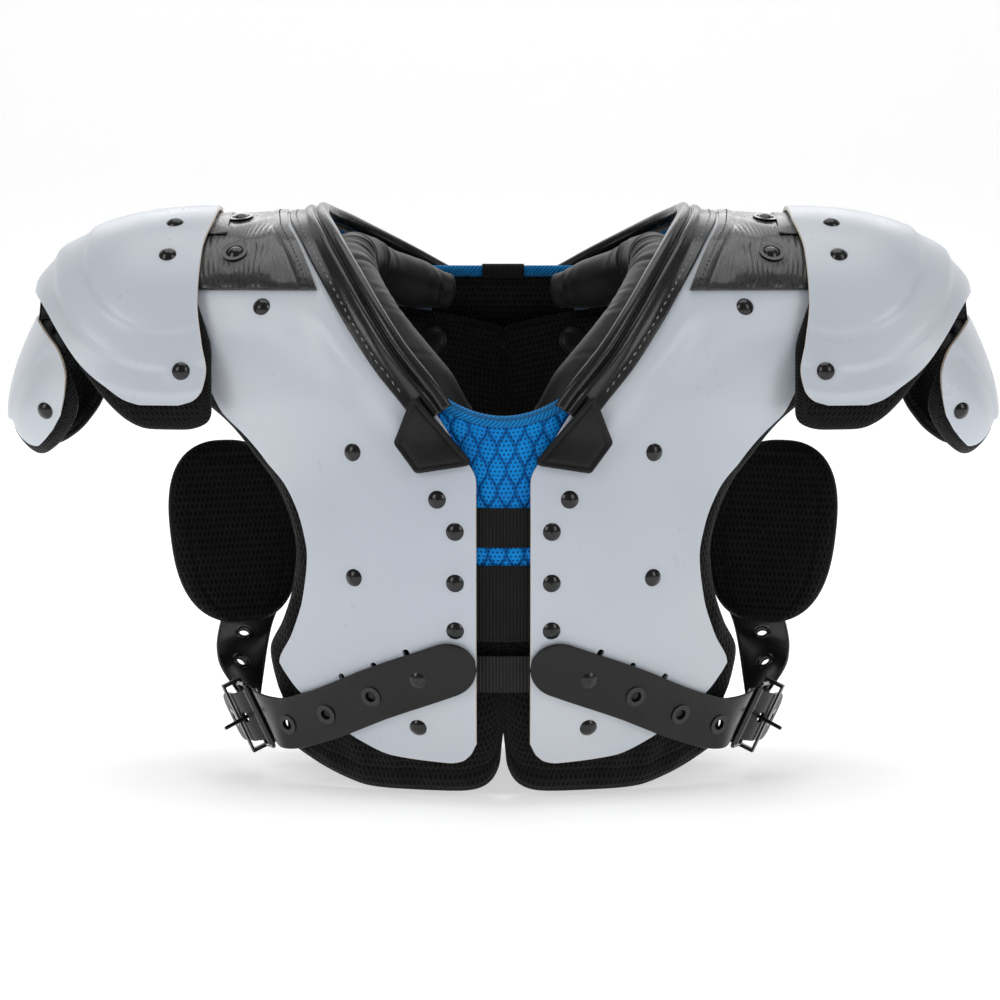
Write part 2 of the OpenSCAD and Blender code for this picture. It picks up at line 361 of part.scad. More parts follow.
L() arch();  // arch_left
R() arch();  // arch_right
L() collar_trim();  // collar_trim_left
R() collar_trim();  // collar_trim_right
L() neck_lining();  // neck_lining_left
R() neck_lining();  // neck_lining_right
L() neck_roll();  // neck_roll_left
R() neck_roll();  // neck_roll_right
L() neck_badge();  // neck_badge_left
R() neck_badge();  // neck_badge_right
L() epaulet_strap();  // epaulet_strap_left
R() epaulet_strap();  // epaulet_strap_right
L() front_liner();  // front_liner_left
R() front_liner();  // front_liner_right
L() shoulder_liner();  // shoulder_liner_left
R() shoulder_liner();  // shoulder_liner_right
L() back_liner();  // back_liner_left
R() back_liner();  // back_liner_right
L() chest_bib();
L() bib_binding();
L() chest_strap(152, 176, 36);  // chest_strap_upper
L() chest_strap(94, 141, 36);  // chest_strap_middle
L() chest_strap(62, 85, 24);  // chest_strap_lower
L() back_strap(200, 235, 36);  // back_strap_upper
L() back_strap(90, 125, 36);  // back_strap_lower
L() nape_bridge();
color(BLACK) both() arch_rivets_half();  // arch_rivets
color(BLACK) both() strap_rivets_half();  // strap_rivets
L() front_belt();  // front_belt_left
R() front_belt();  // front_belt_right
L() rear_belt();  // rear_belt_left
R() rear_belt();  // rear_belt_right
both() belt_eyelets_half();  // belt_eyelets
both() belt_rivets_half();  // belt_rivets
both() belt_keeper();  // belt_keepers
both() liner_snaps_half();  // liner_snaps
L() epaulet_cup();  // epaulet_cup_left
R() epaulet_cup();  // epaulet_cup_right
L() epaulet_pad();  // epaulet_pad_left
R() epaulet_pad();  // epaulet_pad_right
L() epaulet_tab();  // epaulet_tab_left
R() epaulet_tab();  // epaulet_tab_right
L() epaulet_rivets();  // epaulet_rivets_left
R() epaulet_rivets();  // epaulet_rivets_right
L() deltoid_cap();  // deltoid_cap_left
R() deltoid_cap();  // deltoid_cap_right
L() deltoid_pad();  // deltoid_pad_left
R() deltoid_pad();  // deltoid_pad_right
L() deltoid_web();  // deltoid_web_left
R() deltoid_web();  // deltoid_web_right
L() deltoid_rivets();  // deltoid_rivets_left
R() deltoid_rivets();  // deltoid_rivets_right
L() side_pad();  // side_pad_left
R() side_pad();  // side_pad_right
L() buckle_frame();  // buckle_frame_left
R() buckle_frame();  // buckle_frame_right
L() buckle_roller();  // buckle_roller_left
R() buckle_roller();  // buckle_roller_right
L() buckle_prong();  // buckle_prong_left
R() buckle_prong();  // buckle_prong_right
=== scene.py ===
import bpy, bmesh, math
import numpy as np
from mathutils import Vector, Matrix


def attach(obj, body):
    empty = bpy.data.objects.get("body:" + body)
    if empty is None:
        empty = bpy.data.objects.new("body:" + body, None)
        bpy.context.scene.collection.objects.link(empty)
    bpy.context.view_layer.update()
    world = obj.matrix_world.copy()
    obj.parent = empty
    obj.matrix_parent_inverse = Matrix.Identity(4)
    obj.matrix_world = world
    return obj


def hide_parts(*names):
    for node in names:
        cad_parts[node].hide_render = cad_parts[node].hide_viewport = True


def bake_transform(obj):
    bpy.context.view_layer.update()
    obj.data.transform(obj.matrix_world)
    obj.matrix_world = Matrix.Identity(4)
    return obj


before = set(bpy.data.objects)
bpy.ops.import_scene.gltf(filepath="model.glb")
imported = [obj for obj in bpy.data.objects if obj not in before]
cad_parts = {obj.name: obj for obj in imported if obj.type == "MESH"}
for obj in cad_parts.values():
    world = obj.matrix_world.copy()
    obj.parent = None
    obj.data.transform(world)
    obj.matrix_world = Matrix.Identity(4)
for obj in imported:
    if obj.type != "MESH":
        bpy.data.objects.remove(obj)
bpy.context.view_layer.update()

MM = 0.001
YS, ZS = 7.0, 8.0
rng = np.random.RandomState(7)
scene = bpy.context.scene

# ------------------------------------------------------------------ camera
cam = bpy.data.cameras.new("camera")
camo = bpy.data.objects.new("camera", cam)
scene.collection.objects.link(camo)
scene.camera = camo
CAM_T = Vector((-0.002, -0.003, 0.1753))
E, A, D = math.radians(6.0), math.radians(0.0), 2.07
camo.location = CAM_T + D * Vector((math.sin(A) * math.cos(E), -math.cos(A) * math.cos(E), math.sin(E)))
camo.rotation_euler = (CAM_T - camo.location).to_track_quat("-Z", "Y").to_euler()
cam.sensor_width = 36
cam.lens = 3249 / 1000 * 36
cam.clip_start = 0.05
cam.clip_end = 60

# ------------------------------------------------------------------ splines
def cat(K, u):
    K = np.asarray(K, float); u = np.asarray(u, float)
    n = len(K) - 1
    i = np.clip(np.floor(u).astype(int), 0, n - 1)
    t = (u - i)[..., None]
    a, b, c, d = K[np.maximum(i - 1, 0)], K[i], K[i + 1], K[np.minimum(i + 2, n)]
    return 0.5 * (2 * b + (c - a) * t + (2 * a - 5 * b + 4 * c - d) * t ** 2 + (3 * b - a - 3 * c + d) * t ** 3)

def smooth_lookup(T, u):
    """monotone cubic through the rows of T"""
    T = np.asarray(T, float); x, y = T[:, 0], T[:, 1]
    u = np.clip(np.asarray(u, float), x[0], x[-1])
    h = np.diff(x); s = np.diff(y) / h
    m = np.zeros(len(x)); m[0], m[-1] = s[0], s[-1]
    for i in range(1, len(x) - 1):
        if s[i - 1] * s[i] > 0:
            w1, w2 = 2 * h[i] + h[i - 1], h[i] + 2 * h[i - 1]
            m[i] = (w1 + w2) / (w1 / s[i - 1] + w2 / s[i])
    k = np.clip(np.searchsorted(x, u) - 1, 0, len(h) - 1)
    t = (u - x[k]) / h[k]
    return ((1 + 2 * t) * (1 - t) ** 2 * y[k] + t * (1 - t) ** 2 * h[k] * m[k]
            + t * t * (3 - 2 * t) * y[k + 1] + t * t * (t - 1) * h[k] * m[k + 1])

def unit(v):
    return v / np.maximum(np.linalg.norm(v, axis=-1, keepdims=True), 1e-12)

def sstep(a, b, x):
    t = np.clip((x - a) / (b - a), 0, 1)
    return t * t * (3 - 2 * t)

# ------------------------------------------------------------------ body surface
PROFILE = [
    [-98, -18, 16, 190], [-112, 22, 16, 190], [-126, 62, 16, 190], [-136, 112, 16, 190],
    [-140, 160, 16, 190], [-138, 205, 22, 205], [-130, 247, 50, 270], [-110, 288.5, 80, 450],
    [-74, 325, 105, 1000], [-22, 345, 120, 1800], [34, 344, 117, 1800], [80, 324, 90, 1000],
    [108, 288, 40, 420], [122, 247, 20, 270], [128, 205, 16, 205], [128, 160, 16, 190],
    [124, 112, 16, 190], [116, 62, 16, 190], [106, 22, 16, 190], [94, -18, 16, 190]]
XI = [[0, 16], [4.7, 16], [4.85, 18], [5, 23], [5.35, 32], [5.85, 46], [6.5, 68], [7.3, 90],
      [8.1, 108], [9, 120], [9.6, 121], [10, 117], [10.5, 103], [11, 82], [11.5, 52], [11.8, 32],
      [12, 20], [12.2, 16], [19, 16]]
XO = [[0, 124], [1, 128], [1.4, 134], [2, 137], [2.5, 128], [3, 121], [3.6, 118], [4, 121], [4.6, 131],
      [5, 143], [5.5, 158], [6, 172], [6.5, 181], [7, 186], [8, 187.5], [11, 187.5], [12, 186],
      [12.5, 181], [13, 172], [13.5, 158], [14, 143], [14.4, 131], [15, 121], [15.4, 118],
      [16, 121], [16.5, 128], [17, 137], [17.6, 134], [18, 128], [19, 124]]
U0 = [[0, 1.2], [0.03, 1.02], [0.08, 0.9], [0.15, 0.86], [0.45, 0.87], [0.65, 1.02], [0.8, 1.26], [0.92, 1.58], [1, 2]]
xi = lambda u: smooth_lookup(XI, u)
xo = lambda u: smooth_lookup(XO, u)

def S(u, x):
    u, x = np.broadcast_arrays(np.asarray(u, float), np.asarray(x, float))
    c = cat(PROFILE, u); p = cat(PROFILE, u + 0.03) - cat(PROFILE, u - 0.03)
    l = np.hypot(p[..., 0], p[..., 1])
    h = -(x * x - c[..., 2] ** 2) / (2 * c[..., 3])
    return np.stack([x, c[..., 0] - p[..., 1] / l * h, c[..., 1] + p[..., 0] / l * h], -1)

def SN(u, x):
    return unit(np.cross(S(u, x + 1.0) - S(u, x - 1.0), S(u + 0.04, x) - S(u - 0.04, x)))

def SO(u, x, o):
    o = np.asarray(o, float)
    return S(u, x) + o[..., None] * SN(u, x)

def ufront(x, z):
    x, z = np.broadcast_arrays(np.asarray(x, float), np.asarray(z, float))
    lo = np.full(x.shape, -0.5); hi = np.full(x.shape, 9.0)
    for _ in range(26):
        m = (lo + hi) / 2; b = S(m, x)[..., 2] < z
        lo = np.where(b, m, lo); hi = np.where(b, hi, m)
    return (lo + hi) / 2

def uback(x, z):
    x, z = np.broadcast_arrays(np.asarray(x, float), np.asarray(z, float))
    lo = np.full(x.shape, 10.0); hi = np.full(x.shape, 19.5)
    for _ in range(26):
        m = (lo + hi) / 2; b = S(m, x)[..., 2] > z
        lo = np.where(b, m, lo); hi = np.where(b, hi, m)
    return (lo + hi) / 2

def ufb(x, z, back):
    return uback(x, z) if back else ufront(x, z)

# ------------------------------------------------------------------ mesh making
def make(name, verts, faces, uv=None, mat=None, body="root", repl=(), mirror=False, smooth=True, attrs=None, shift=True):
    """verts in the mm frame of part.scad before placing; uv is one pair per vertex, in metres"""
    v = np.array(verts, float).reshape(-1, 3)
    if mirror:
        v = v * np.array([-1, 1, 1]); faces = [tuple(reversed(f)) for f in faces]
    if shift:
        v = (v + np.array([0, YS, ZS])) * MM
    me = bpy.data.meshes.new(name)
    me.from_pydata(v.tolist(), [], [tuple(int(i) for i in f) for f in faces])
    if uv is not None:
        L = me.uv_layers.new(name="UVMap")
        idx = np.zeros(len(me.loops), np.int32); me.loops.foreach_get("vertex_index", idx)
        L.data.foreach_set("uv", np.asarray(uv, np.float32)[idx].ravel())
    for k, a in (attrs or {}).items():
        t = me.attributes.new(k, "FLOAT", "POINT"); t.data.foreach_set("value", np.asarray(a, np.float32).ravel())
    me.update()
    if smooth:
        me.polygons.foreach_set("use_smooth", [True] * len(me.polygons))
    ob = bpy.data.objects.new(name, me)
    scene.collection.objects.link(ob)
    if mat:
        me.materials.append(mat)
    finish_piece(ob, body, repl)
    return ob

def finish_piece(ob, body, repl=()):
    if body:
        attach(ob, body)
    if repl:
        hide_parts(*repl)

def grid_arc(P):
    """arc-length coordinates of a grid of points, from its middle column and row"""
    m, n = P.shape[:2]
    du = np.linalg.norm(np.diff(P, axis=0), axis=-1); dv = np.linalg.norm(np.diff(P, axis=1), axis=-1)
    a = np.concatenate([[0], np.cumsum(du[:, n // 2])])[:, None] * np.ones((1, n))
    b = np.concatenate([np.zeros((m, 1)), np.cumsum(dv, axis=1)], axis=1)
    b = b - b[:, n // 2: n // 2 + 1]
    return np.stack([b, a], -1) * MM

def slab(outer, inner, k=3, uv=None, rim=True):
    """Closed slab with a rounded rim. Returns verts, faces, uv, tag (0 outer, 1 inner, 2 rim)."""
    m, n = outer.shape[:2]
    if uv is None:
        uv = grid_arc(outer)
    O, I = outer.copy(), inner.copy()
    per = [(0, j) for j in range(n)] + [(i, n - 1) for i in range(1, m)] + [(m - 1, j) for j in range(n - 2, -1, -1)] + [(i, 0) for i in range(m - 2, 0, -1)]
    pi = np.array(per)
    loops = []
    Pm = (outer + inner) / 2
    def inner_nb(i, j):
        return (min(max(i, 1), m - 2), min(max(j, 1), n - 2))
    nb = np.array([inner_nb(i, j) for i, j in per])
    c = Pm[pi[:, 0], pi[:, 1]]; d = c - Pm[nb[:, 0], nb[:, 1]]
    N = outer[pi[:, 0], pi[:, 1]] - inner[pi[:, 0], pi[:, 1]]
    h = np.linalg.norm(N, axis=1, keepdims=True) / 2
    Nu = N / (2 * h)
    d = unit(d - (d * Nu).sum(1, keepdims=True) * Nu)
    # smooth the outward direction along the rim
    for _ in range(2):
        d = unit(d + 0.5 * np.roll(d, 1, 0) + 0.5 * np.roll(d, -1, 0))
    if rim:
        back = np.minimum(h, 0.45 * np.linalg.norm(c - Pm[nb[:, 0], nb[:, 1]], axis=1, keepdims=True) + 0.55 * 0)
        O[pi[:, 0], pi[:, 1]] -= d * back; I[pi[:, 0], pi[:, 1]] -= d * back
        c = c - d * back
        for q in range(1, k + 1):
            th = math.pi * q / (k + 1)
            loops.append(c + Nu * h * math.cos(th) + d * back * math.sin(th))
    verts = [O.reshape(-1, 3), I.reshape(-1, 3)] + loops
    tag = [np.zeros(m * n), np.ones(m * n)] + [np.full(len(per), 2.0)] * len(loops)
    uvs = [uv.reshape(-1, 2), uv.reshape(-1, 2)] + [uv[pi[:, 0], pi[:, 1]]] * len(loops)
    ids = np.arange(m * n).reshape(m, n)
    F = []
    for i in range(m - 1):
        for j in range(n - 1):
            F.append((ids[i, j], ids[i, j + 1], ids[i + 1, j + 1], ids[i + 1, j]))
            F.append((m * n + ids[i, j], m * n + ids[i + 1, j], m * n + ids[i + 1, j + 1], m * n + ids[i, j + 1]))
    pl = len(per)
    ring = [ids[pi[:, 0], pi[:, 1]]] + [2 * m * n + q * pl + np.arange(pl) for q in range(len(loops))] + [m * n + ids[pi[:, 0], pi[:, 1]]]
    for a, b in zip(ring[:-1], ring[1:]):
        for s in range(pl):
            t = (s + 1) % pl
            F.append((a[s], b[s], b[t], a[t]))
    return np.concatenate(verts), F, np.concatenate(uvs), np.concatenate(tag), per

def check_out(v, F):
    """True if the faces point outward (positive volume)"""
    vol = 0.0
    for f in F[:: max(1, len(F) // 4000)]:
        a, b, c = v[f[0]], v[f[1]], v[f[2]]
        vol += np.dot(a - v[0], np.cross(b - v[0], c - v[0]))
    return vol > 0

def signed_volume(v, F):
    t = []
    for f in F:
        for q in range(1, len(f) - 1):
            t.append((f[0], f[q], f[q + 1]))
    t = np.array(t); o = v.mean(0)
    return np.einsum("ij,ij->i", v[t[:, 0]] - o, np.cross(v[t[:, 1]] - o, v[t[:, 2]] - o)).sum() / 6

def outward(v, F):
    return F if signed_volume(v, F) > 0 else [tuple(reversed(f)) for f in F]

def sweep(P, ref, sec, closed=False, caps=True, uv_scale=1.0, scale=None):
    """sec: (k,2) closed section in (ref direction, cross direction). Returns verts, faces, uv."""
    P = np.asarray(P, float); n = len(P); sec = np.asarray(sec, float); k = len(sec)
    if closed:
        T = unit(np.roll(P, -1, 0) - np.roll(P, 1, 0))
    else:
        T = unit(np.gradient(P, axis=0))
    a = unit(ref - (ref * T).sum(1, keepdims=True) * T); b = np.cross(T, a)
    s = np.ones(n) if scale is None else scale
    V = P[:, None] + s[:, None, None] * (sec[None, :, 0, None] * a[:, None] + sec[None, :, 1, None] * b[:, None])
    F = []
    for i in range(n if closed else n - 1):
        i2 = (i + 1) % n
        for j in range(k):
            j2 = (j + 1) % k
            F.append((i * k + j, i * k + j2, i2 * k + j2, i2 * k + j))
    if caps and not closed:
        F.append(tuple(range(k - 1, -1, -1))); F.append(tuple((n - 1) * k + j for j in range(k)))
    d = np.concatenate([[0], np.cumsum(np.linalg.norm(np.diff(P, axis=0), axis=1))])
    sl = np.concatenate([[0], np.cumsum(np.linalg.norm(np.diff(sec, axis=0), axis=1))])
    uv = np.stack([np.broadcast_to(sl[None, :], (n, k)), np.broadcast_to(d[:, None], (n, k))], -1).reshape(-1, 2) * MM * uv_scale
    V = V.reshape(-1, 3)
    return V, outward(V, F), uv

def ellipse(a, b, k=12):
    t = np.linspace(0, 2 * np.pi, k, endpoint=False)
    return np.stack([a * np.cos(t), b * np.sin(t)], 1)

def resample(P, step, closed=False):
    P = np.asarray(P, float)
    Q = np.vstack([P, P[:1]]) if closed else P
    d = np.concatenate([[0], np.cumsum(np.linalg.norm(np.diff(Q, axis=0), axis=1))])
    n = max(int(round(d[-1] / step)), 4)
    s = np.linspace(0, d[-1], n + 1)
    R = np.stack([np.interp(s, d, Q[:, c]) for c in range(3)], 1)
    return R[:-1] if closed else R

def smooth_path(P, it=3, closed=False):
    P = P.copy()
    for _ in range(it):
        if closed:
            P = 0.5 * P + 0.25 * (np.roll(P, 1, 0) + np.roll(P, -1, 0))
        else:
            P[1:-1] = 0.5 * P[1:-1] + 0.25 * (P[2:] + P[:-2])
    return P

def capsules(points, dirs, normals, length, r, lift=0.0):
    """row of stitches: short rounded threads lying on a surface"""
    V, F, U = [], [], []
    k, m = 6, 6
    th = np.linspace(0, 2 * np.pi, k, endpoint=False)
    for p, d, n in zip(points, dirs, normals):
        b = np.cross(d, n)
        base = len(V)
        for q in range(m):
            s = q / (m - 1) * 2 - 1
            rr = r * math.sqrt(max(1 - abs(s) ** 3, 0.04))
            c = p + d * s * length / 2 + n * (lift - 0.55 * r * s * s)
            for t in th:
                V.append(c + rr * (math.cos(t) * n + math.sin(t) * b)); U.append((t / 6.28 * 0.002, (s + 1) / 2 * length * MM))
        for q in range(m - 1):
            for j in range(k):
                j2 = (j + 1) % k
                F.append((base + q * k + j, base + q * k + j2, base + (q + 1) * k + j2, base + (q + 1) * k + j))
        F.append(tuple(base + j for j in range(k - 1, -1, -1))); F.append(tuple(base + (m - 1) * k + j for j in range(k)))
    V = np.array(V)
    one = F[: (m - 1) * k + 2]
    if signed_volume(V[: m * k], one) < 0:
        F = [tuple(reversed(f)) for f in F]
    return V, F, np.array(U)

def noise1(x, seed, octaves=3):
    r = np.random.RandomState(seed); y = np.zeros_like(x, dtype=float)
    for o in range(octaves):
        f = 2 ** o; ph = r.rand(4) * 6.28; fr = (0.6 + r.rand(4)) * f
        for a, b in zip(ph, fr):
            y += np.sin(x * b + a) / (4 * f)
    return y

def noise3(P, scale, seed, n=14):
    """sum of randomly turned waves, about -1 to 1"""
    r = np.random.RandomState(seed); y = np.zeros(P.shape[:-1])
    for _ in range(n):
        k = r.normal(size=3); k = k / np.linalg.norm(k) * (0.6 + 0.8 * r.rand()) * 2 * np.pi / scale
        y += np.sin(P @ k + r.rand() * 6.28)
    return y / math.sqrt(n)

# ------------------------------------------------------------------ materials
def new_mat(name):
    m = bpy.data.materials.new(name); m.use_nodes = True
    nt = m.node_tree; b = nt.nodes["Principled BSDF"]
    return m, nt, b

class G:
    """short hand for building node graphs"""
    def __init__(self, nt):
        self.nt = nt
    def n(self, kind, **kw):
        x = self.nt.nodes.new(kind)
        for k, v in kw.items():
            setattr(x, k, v)
        return x
    def link(self, a, b):
        self.nt.links.new(a, b)
    def val(self, sock, v):
        if hasattr(v, "default_value") or hasattr(v, "links"):
            self.link(v, sock)
        else:
            sock.default_value = v
    def math(self, op, a, b=None, c=None, clamp=False):
        x = self.n("ShaderNodeMath", operation=op, use_clamp=clamp)
        self.val(x.inputs[0], a)
        if b is not None: self.val(x.inputs[1], b)
        if c is not None: self.val(x.inputs[2], c)
        return x.outputs[0]
    def noise(self, vec, scale, detail=3, rough=0.5, dist=0.0):
        x = self.n("ShaderNodeTexNoise"); x.inputs["Scale"].default_value = scale
        x.inputs["Detail"].default_value = detail; x.inputs["Roughness"].default_value = rough
        x.inputs["Distortion"].default_value = dist
        self.link(vec, x.inputs["Vector"]); return x.outputs["Fac"]
    def voronoi(self, vec, scale, feature="F1", rand=1.0):
        x = self.n("ShaderNodeTexVoronoi", feature=feature); x.inputs["Scale"].default_value = scale
        x.inputs["Randomness"].default_value = rand
        self.link(vec, x.inputs["Vector"]); return x.outputs["Distance"]
    def ramp(self, fac, stops):
        x = self.n("ShaderNodeValToRGB"); cr = x.color_ramp
        while len(cr.elements) < len(stops): cr.elements.new(0.5)
        for e, (p, c) in zip(cr.elements, stops):
            e.position = p; e.color = (*c, 1) if len(c) == 3 else c
        self.link(fac, x.inputs[0]); return x.outputs[0]
    def range(self, v, a, b, c, d):
        x = self.n("ShaderNodeMapRange"); self.val(x.inputs[0], v)
        for i, q in enumerate((a, b, c, d)): x.inputs[1 + i].default_value = q
        return x.outputs[0]
    def mix(self, fac, a, b):
        x = self.n("ShaderNodeMix", data_type="RGBA"); self.val(x.inputs[0], fac)
        for s, v in ((6, a), (7, b)):
            if isinstance(v, tuple): x.inputs[s].default_value = (*v, 1) if len(v) == 3 else v
            else: self.link(v, x.inputs[s])
        return x.outputs[2]
    def obj(self):
        return self.n("ShaderNodeTexCoord").outputs["Object"]
    def uv(self):
        return self.n("ShaderNodeTexCoord").outputs["UV"]
    def sep(self, v):
        x = self.n("ShaderNodeSeparateXYZ"); self.link(v, x.inputs[0]); return x.outputs
    def attr(self, name):
        return self.n("ShaderNodeAttribute", attribute_name=name).outputs["Fac"]
    def bump(self, h, strength, dist, base=None):
        x = self.n("ShaderNodeBump"); x.inputs["Strength"].default_value = strength; x.inputs["Distance"].default_value = dist
        self.link(h, x.inputs["Height"])
        if base is not None: self.link(base, x.inputs["Normal"])
        return x.outputs[0]

def setp(b, **kw):
    for k, v in kw.items():
        b.inputs[k.replace("_", " ")].default_value = v

def mat_shell():
    m, nt, b = new_mat("shell_plastic"); g = G(nt); o = g.obj()
    big = g.noise(o, 6.0, 2, 0.5)
    mid = g.noise(o, 28.0, 3, 0.55)
    base = g.mix(g.range(big, 0.3, 0.7, 0.0, 1.0), (0.51, 0.55, 0.61), (0.60, 0.63, 0.67))
    base = g.mix(g.range(mid, 0.35, 0.65, 0.0, 0.35), base, (0.55, 0.59, 0.65))
    # painted highlight: the rounded rim of every shell is mixed towards a bright warm colour, standing in for light
    # caught in the plastic's edge
    rim = g.attr("rim")
    col = g.mix(g.range(rim, 0.0, 1.0, 0.0, 0.8), base, (0.86, 0.70, 0.53))
    sh = g.attr("shade")
    col = g.mix(g.range(sh, 0.0, 1.0, 0.0, 0.55), col, (0.43, 0.50, 0.60))
    g.link(col, b.inputs["Base Color"])
    fine = g.noise(o, 1500.0, 2, 0.6)
    rg = g.noise(o, 60.0, 4, 0.6)
    g.link(g.range(rg, 0.3, 0.7, 0.27, 0.38), b.inputs["Roughness"])
    scr = g.noise(o, 380.0, 2, 0.5, 0.6)
    bp = g.bump(fine, 0.10, 0.0004); bp = g.bump(scr, 0.04, 0.0004, bp)
    g.link(bp, b.inputs["Normal"])
    setp(b, Subsurface_Weight=0.18, Subsurface_Scale=0.006, Coat_Weight=0.12, Coat_Roughness=0.2)
    b.inputs["Specular IOR Level"].default_value = 0.5
    b.inputs["Subsurface Radius"].default_value = (1.0, 1.05, 1.2)
    return m

def mat_vinyl(name="vinyl_gloss", crinkle=1.0, base=(0.006, 0.006, 0.0065), rough=(0.16, 0.30)):
    m, nt, b = new_mat(name); g = G(nt); o = g.obj()
    big = g.noise(o, 35.0, 4, 0.6, 0.8)
    g.link(g.mix(g.range(big, 0.3, 0.7, 0, 1), base, tuple(c * 1.6 + 0.001 for c in base)), b.inputs["Base Color"])
    pores = g.voronoi(o, 900.0, "F1")
    cr = g.noise(o, 170.0, 5, 0.62, 1.2)
    g.link(g.range(big, 0.3, 0.7, rough[0], rough[1]), b.inputs["Roughness"])
    bp = g.bump(cr, 0.35 * crinkle, 0.0012); bp = g.bump(pores, 0.10, 0.0004, bp)
    g.link(bp, b.inputs["Normal"])
    setp(b, Coat_Weight=0.2, Coat_Roughness=0.12)
    b.inputs["Specular IOR Level"].default_value = 0.35
    return m

def mat_strap():
    """embossed glossy vinyl of the straps over the shoulder: fine cross-ribbed emboss with creases"""
    m, nt, b = new_mat("strap_vinyl"); g = G(nt); o = g.obj(); u = g.uv()
    s = g.sep(u)
    big = g.noise(o, 30.0, 4, 0.6, 0.8)
    g.link(g.mix(g.range(big, 0.35, 0.65, 0, 1), (0.004, 0.004, 0.0045), (0.010, 0.010, 0.0105)), b.inputs["Base Color"])
    wob = g.noise(o, 240.0, 3, 0.6)
    rib = g.math("SINE", g.math("ADD", g.math("MULTIPLY", s[0], 5200.0), g.math("MULTIPLY", wob, 9.0)))
    mp = g.n("ShaderNodeMapping"); mp.inputs["Scale"].default_value = (900, 90, 1); g.link(u, mp.inputs[0])
    cr = g.noise(mp.outputs[0], 1.0, 4, 0.65, 1.0)
    bp = g.bump(rib, 0.22, 0.0005); bp = g.bump(cr, 0.5, 0.0014, bp)
    g.link(bp, b.inputs["Normal"])
    g.link(g.range(cr, 0.3, 0.7, 0.13, 0.30), b.inputs["Roughness"])
    setp(b, Coat_Weight=0.5, Coat_Roughness=0.1)
    return m

def mat_mesh(name, dark, yarn, px=0.0031, pz=0.0046, sheen=0.04, hole=0.36, bumpd=0.0009, spec=0.18):
    """air mesh: staggered elongated holes between knitted yarns, from UVs in metres"""
    m, nt, b = new_mat(name); g = G(nt); u = g.uv(); s = g.sep(u)
    wob = g.noise(u, 900.0, 2, 0.5)
    X = g.math("ADD", s[0], g.math("MULTIPLY", g.math("SUBTRACT", wob, 0.5), px * 0.35))
    Z = s[1]
    row = g.math("FLOOR", g.math("DIVIDE", Z, pz))
    odd = g.math("MULTIPLY", g.math("MODULO", g.math("ABSOLUTE", row), 2.0), 0.5)
    fx = g.math("SUBTRACT", g.math("FRACT", g.math("ADD", g.math("DIVIDE", X, px), odd)), 0.5)
    fz = g.math("SUBTRACT", g.math("FRACT", g.math("DIVIDE", Z, pz)), 0.5)
    d = g.math("SQRT", g.math("ADD", g.math("MULTIPLY", fx, fx), g.math("MULTIPLY", g.math("MULTIPLY", fz, fz), 0.62)))
    h = g.range(d, hole * 0.55, hole * 1.15, 0.0, 1.0)
    knit = g.math("ABSOLUTE", g.math("SINE", g.math("ADD", g.math("MULTIPLY", Z, 2 * math.pi / pz * 2), g.math("MULTIPLY", X, 2 * math.pi / px))))
    hh = g.math("ADD", h, g.math("MULTIPLY", knit, 0.25))
    big = g.noise(g.obj(), 18.0, 3, 0.5)
    yc = g.mix(g.range(big, 0.3, 0.7, 0, 1), yarn, tuple(c * 0.72 for c in yarn))
    # painted shade: the holes take the near-black colour dark, standing in for the shadow inside them; the yarn colour
    # is the mesh's own
    g.link(g.mix(h, dark, yc), b.inputs["Base Color"])
    g.link(g.bump(hh, 0.85, bumpd), b.inputs["Normal"])
    setp(b, Roughness=0.62, Sheen_Weight=sheen, Sheen_Roughness=0.4)
    b.inputs["Specular IOR Level"].default_value = spec
    return m

def mat_perf():
    """blue padded mesh with small punched holes"""
    m, nt, b = new_mat("mesh_blue"); g = G(nt); u = g.uv(); s = g.sep(u)
    p = 0.0027
    row = g.math("FLOOR", g.math("DIVIDE", s[1], p))
    odd = g.math("MULTIPLY", g.math("MODULO", g.math("ABSOLUTE", row), 2.0), 0.5)
    fx = g.math("SUBTRACT", g.math("FRACT", g.math("ADD", g.math("DIVIDE", s[0], p), odd)), 0.5)
    fz = g.math("SUBTRACT", g.math("FRACT", g.math("DIVIDE", s[1], p)), 0.5)
    d = g.math("SQRT", g.math("ADD", g.math("MULTIPLY", fx, fx), g.math("MULTIPLY", fz, fz)))
    h = g.range(d, 0.16, 0.24, 0.0, 1.0)
    big = g.noise(g.obj(), 40.0, 3, 0.5)
    yc = g.mix(g.range(big, 0.3, 0.7, 0, 1), (0.0, 0.19, 0.60), (0.0, 0.25, 0.70))
    # painted shade: the seam mask darkens the blue along the quilting grooves, where shade falls
    seam = g.attr("seam")
    yc = g.mix(g.range(seam, 0, 1, 0, 0.85), yc, (0.0, 0.06, 0.26))
    # painted shade: the punched holes take a near-black navy, standing in for the shadow inside them
    g.link(g.mix(h, (0.0, 0.012, 0.05), yc), b.inputs["Base Color"])
    knit = g.noise(u, 2600.0, 2, 0.5)
    bp = g.bump(h, 0.8, 0.0006); bp = g.bump(knit, 0.25, 0.0004, bp)
    g.link(bp, b.inputs["Normal"])
    setp(b, Roughness=0.6, Sheen_Weight=0.06, Sheen_Roughness=0.4)
    return m

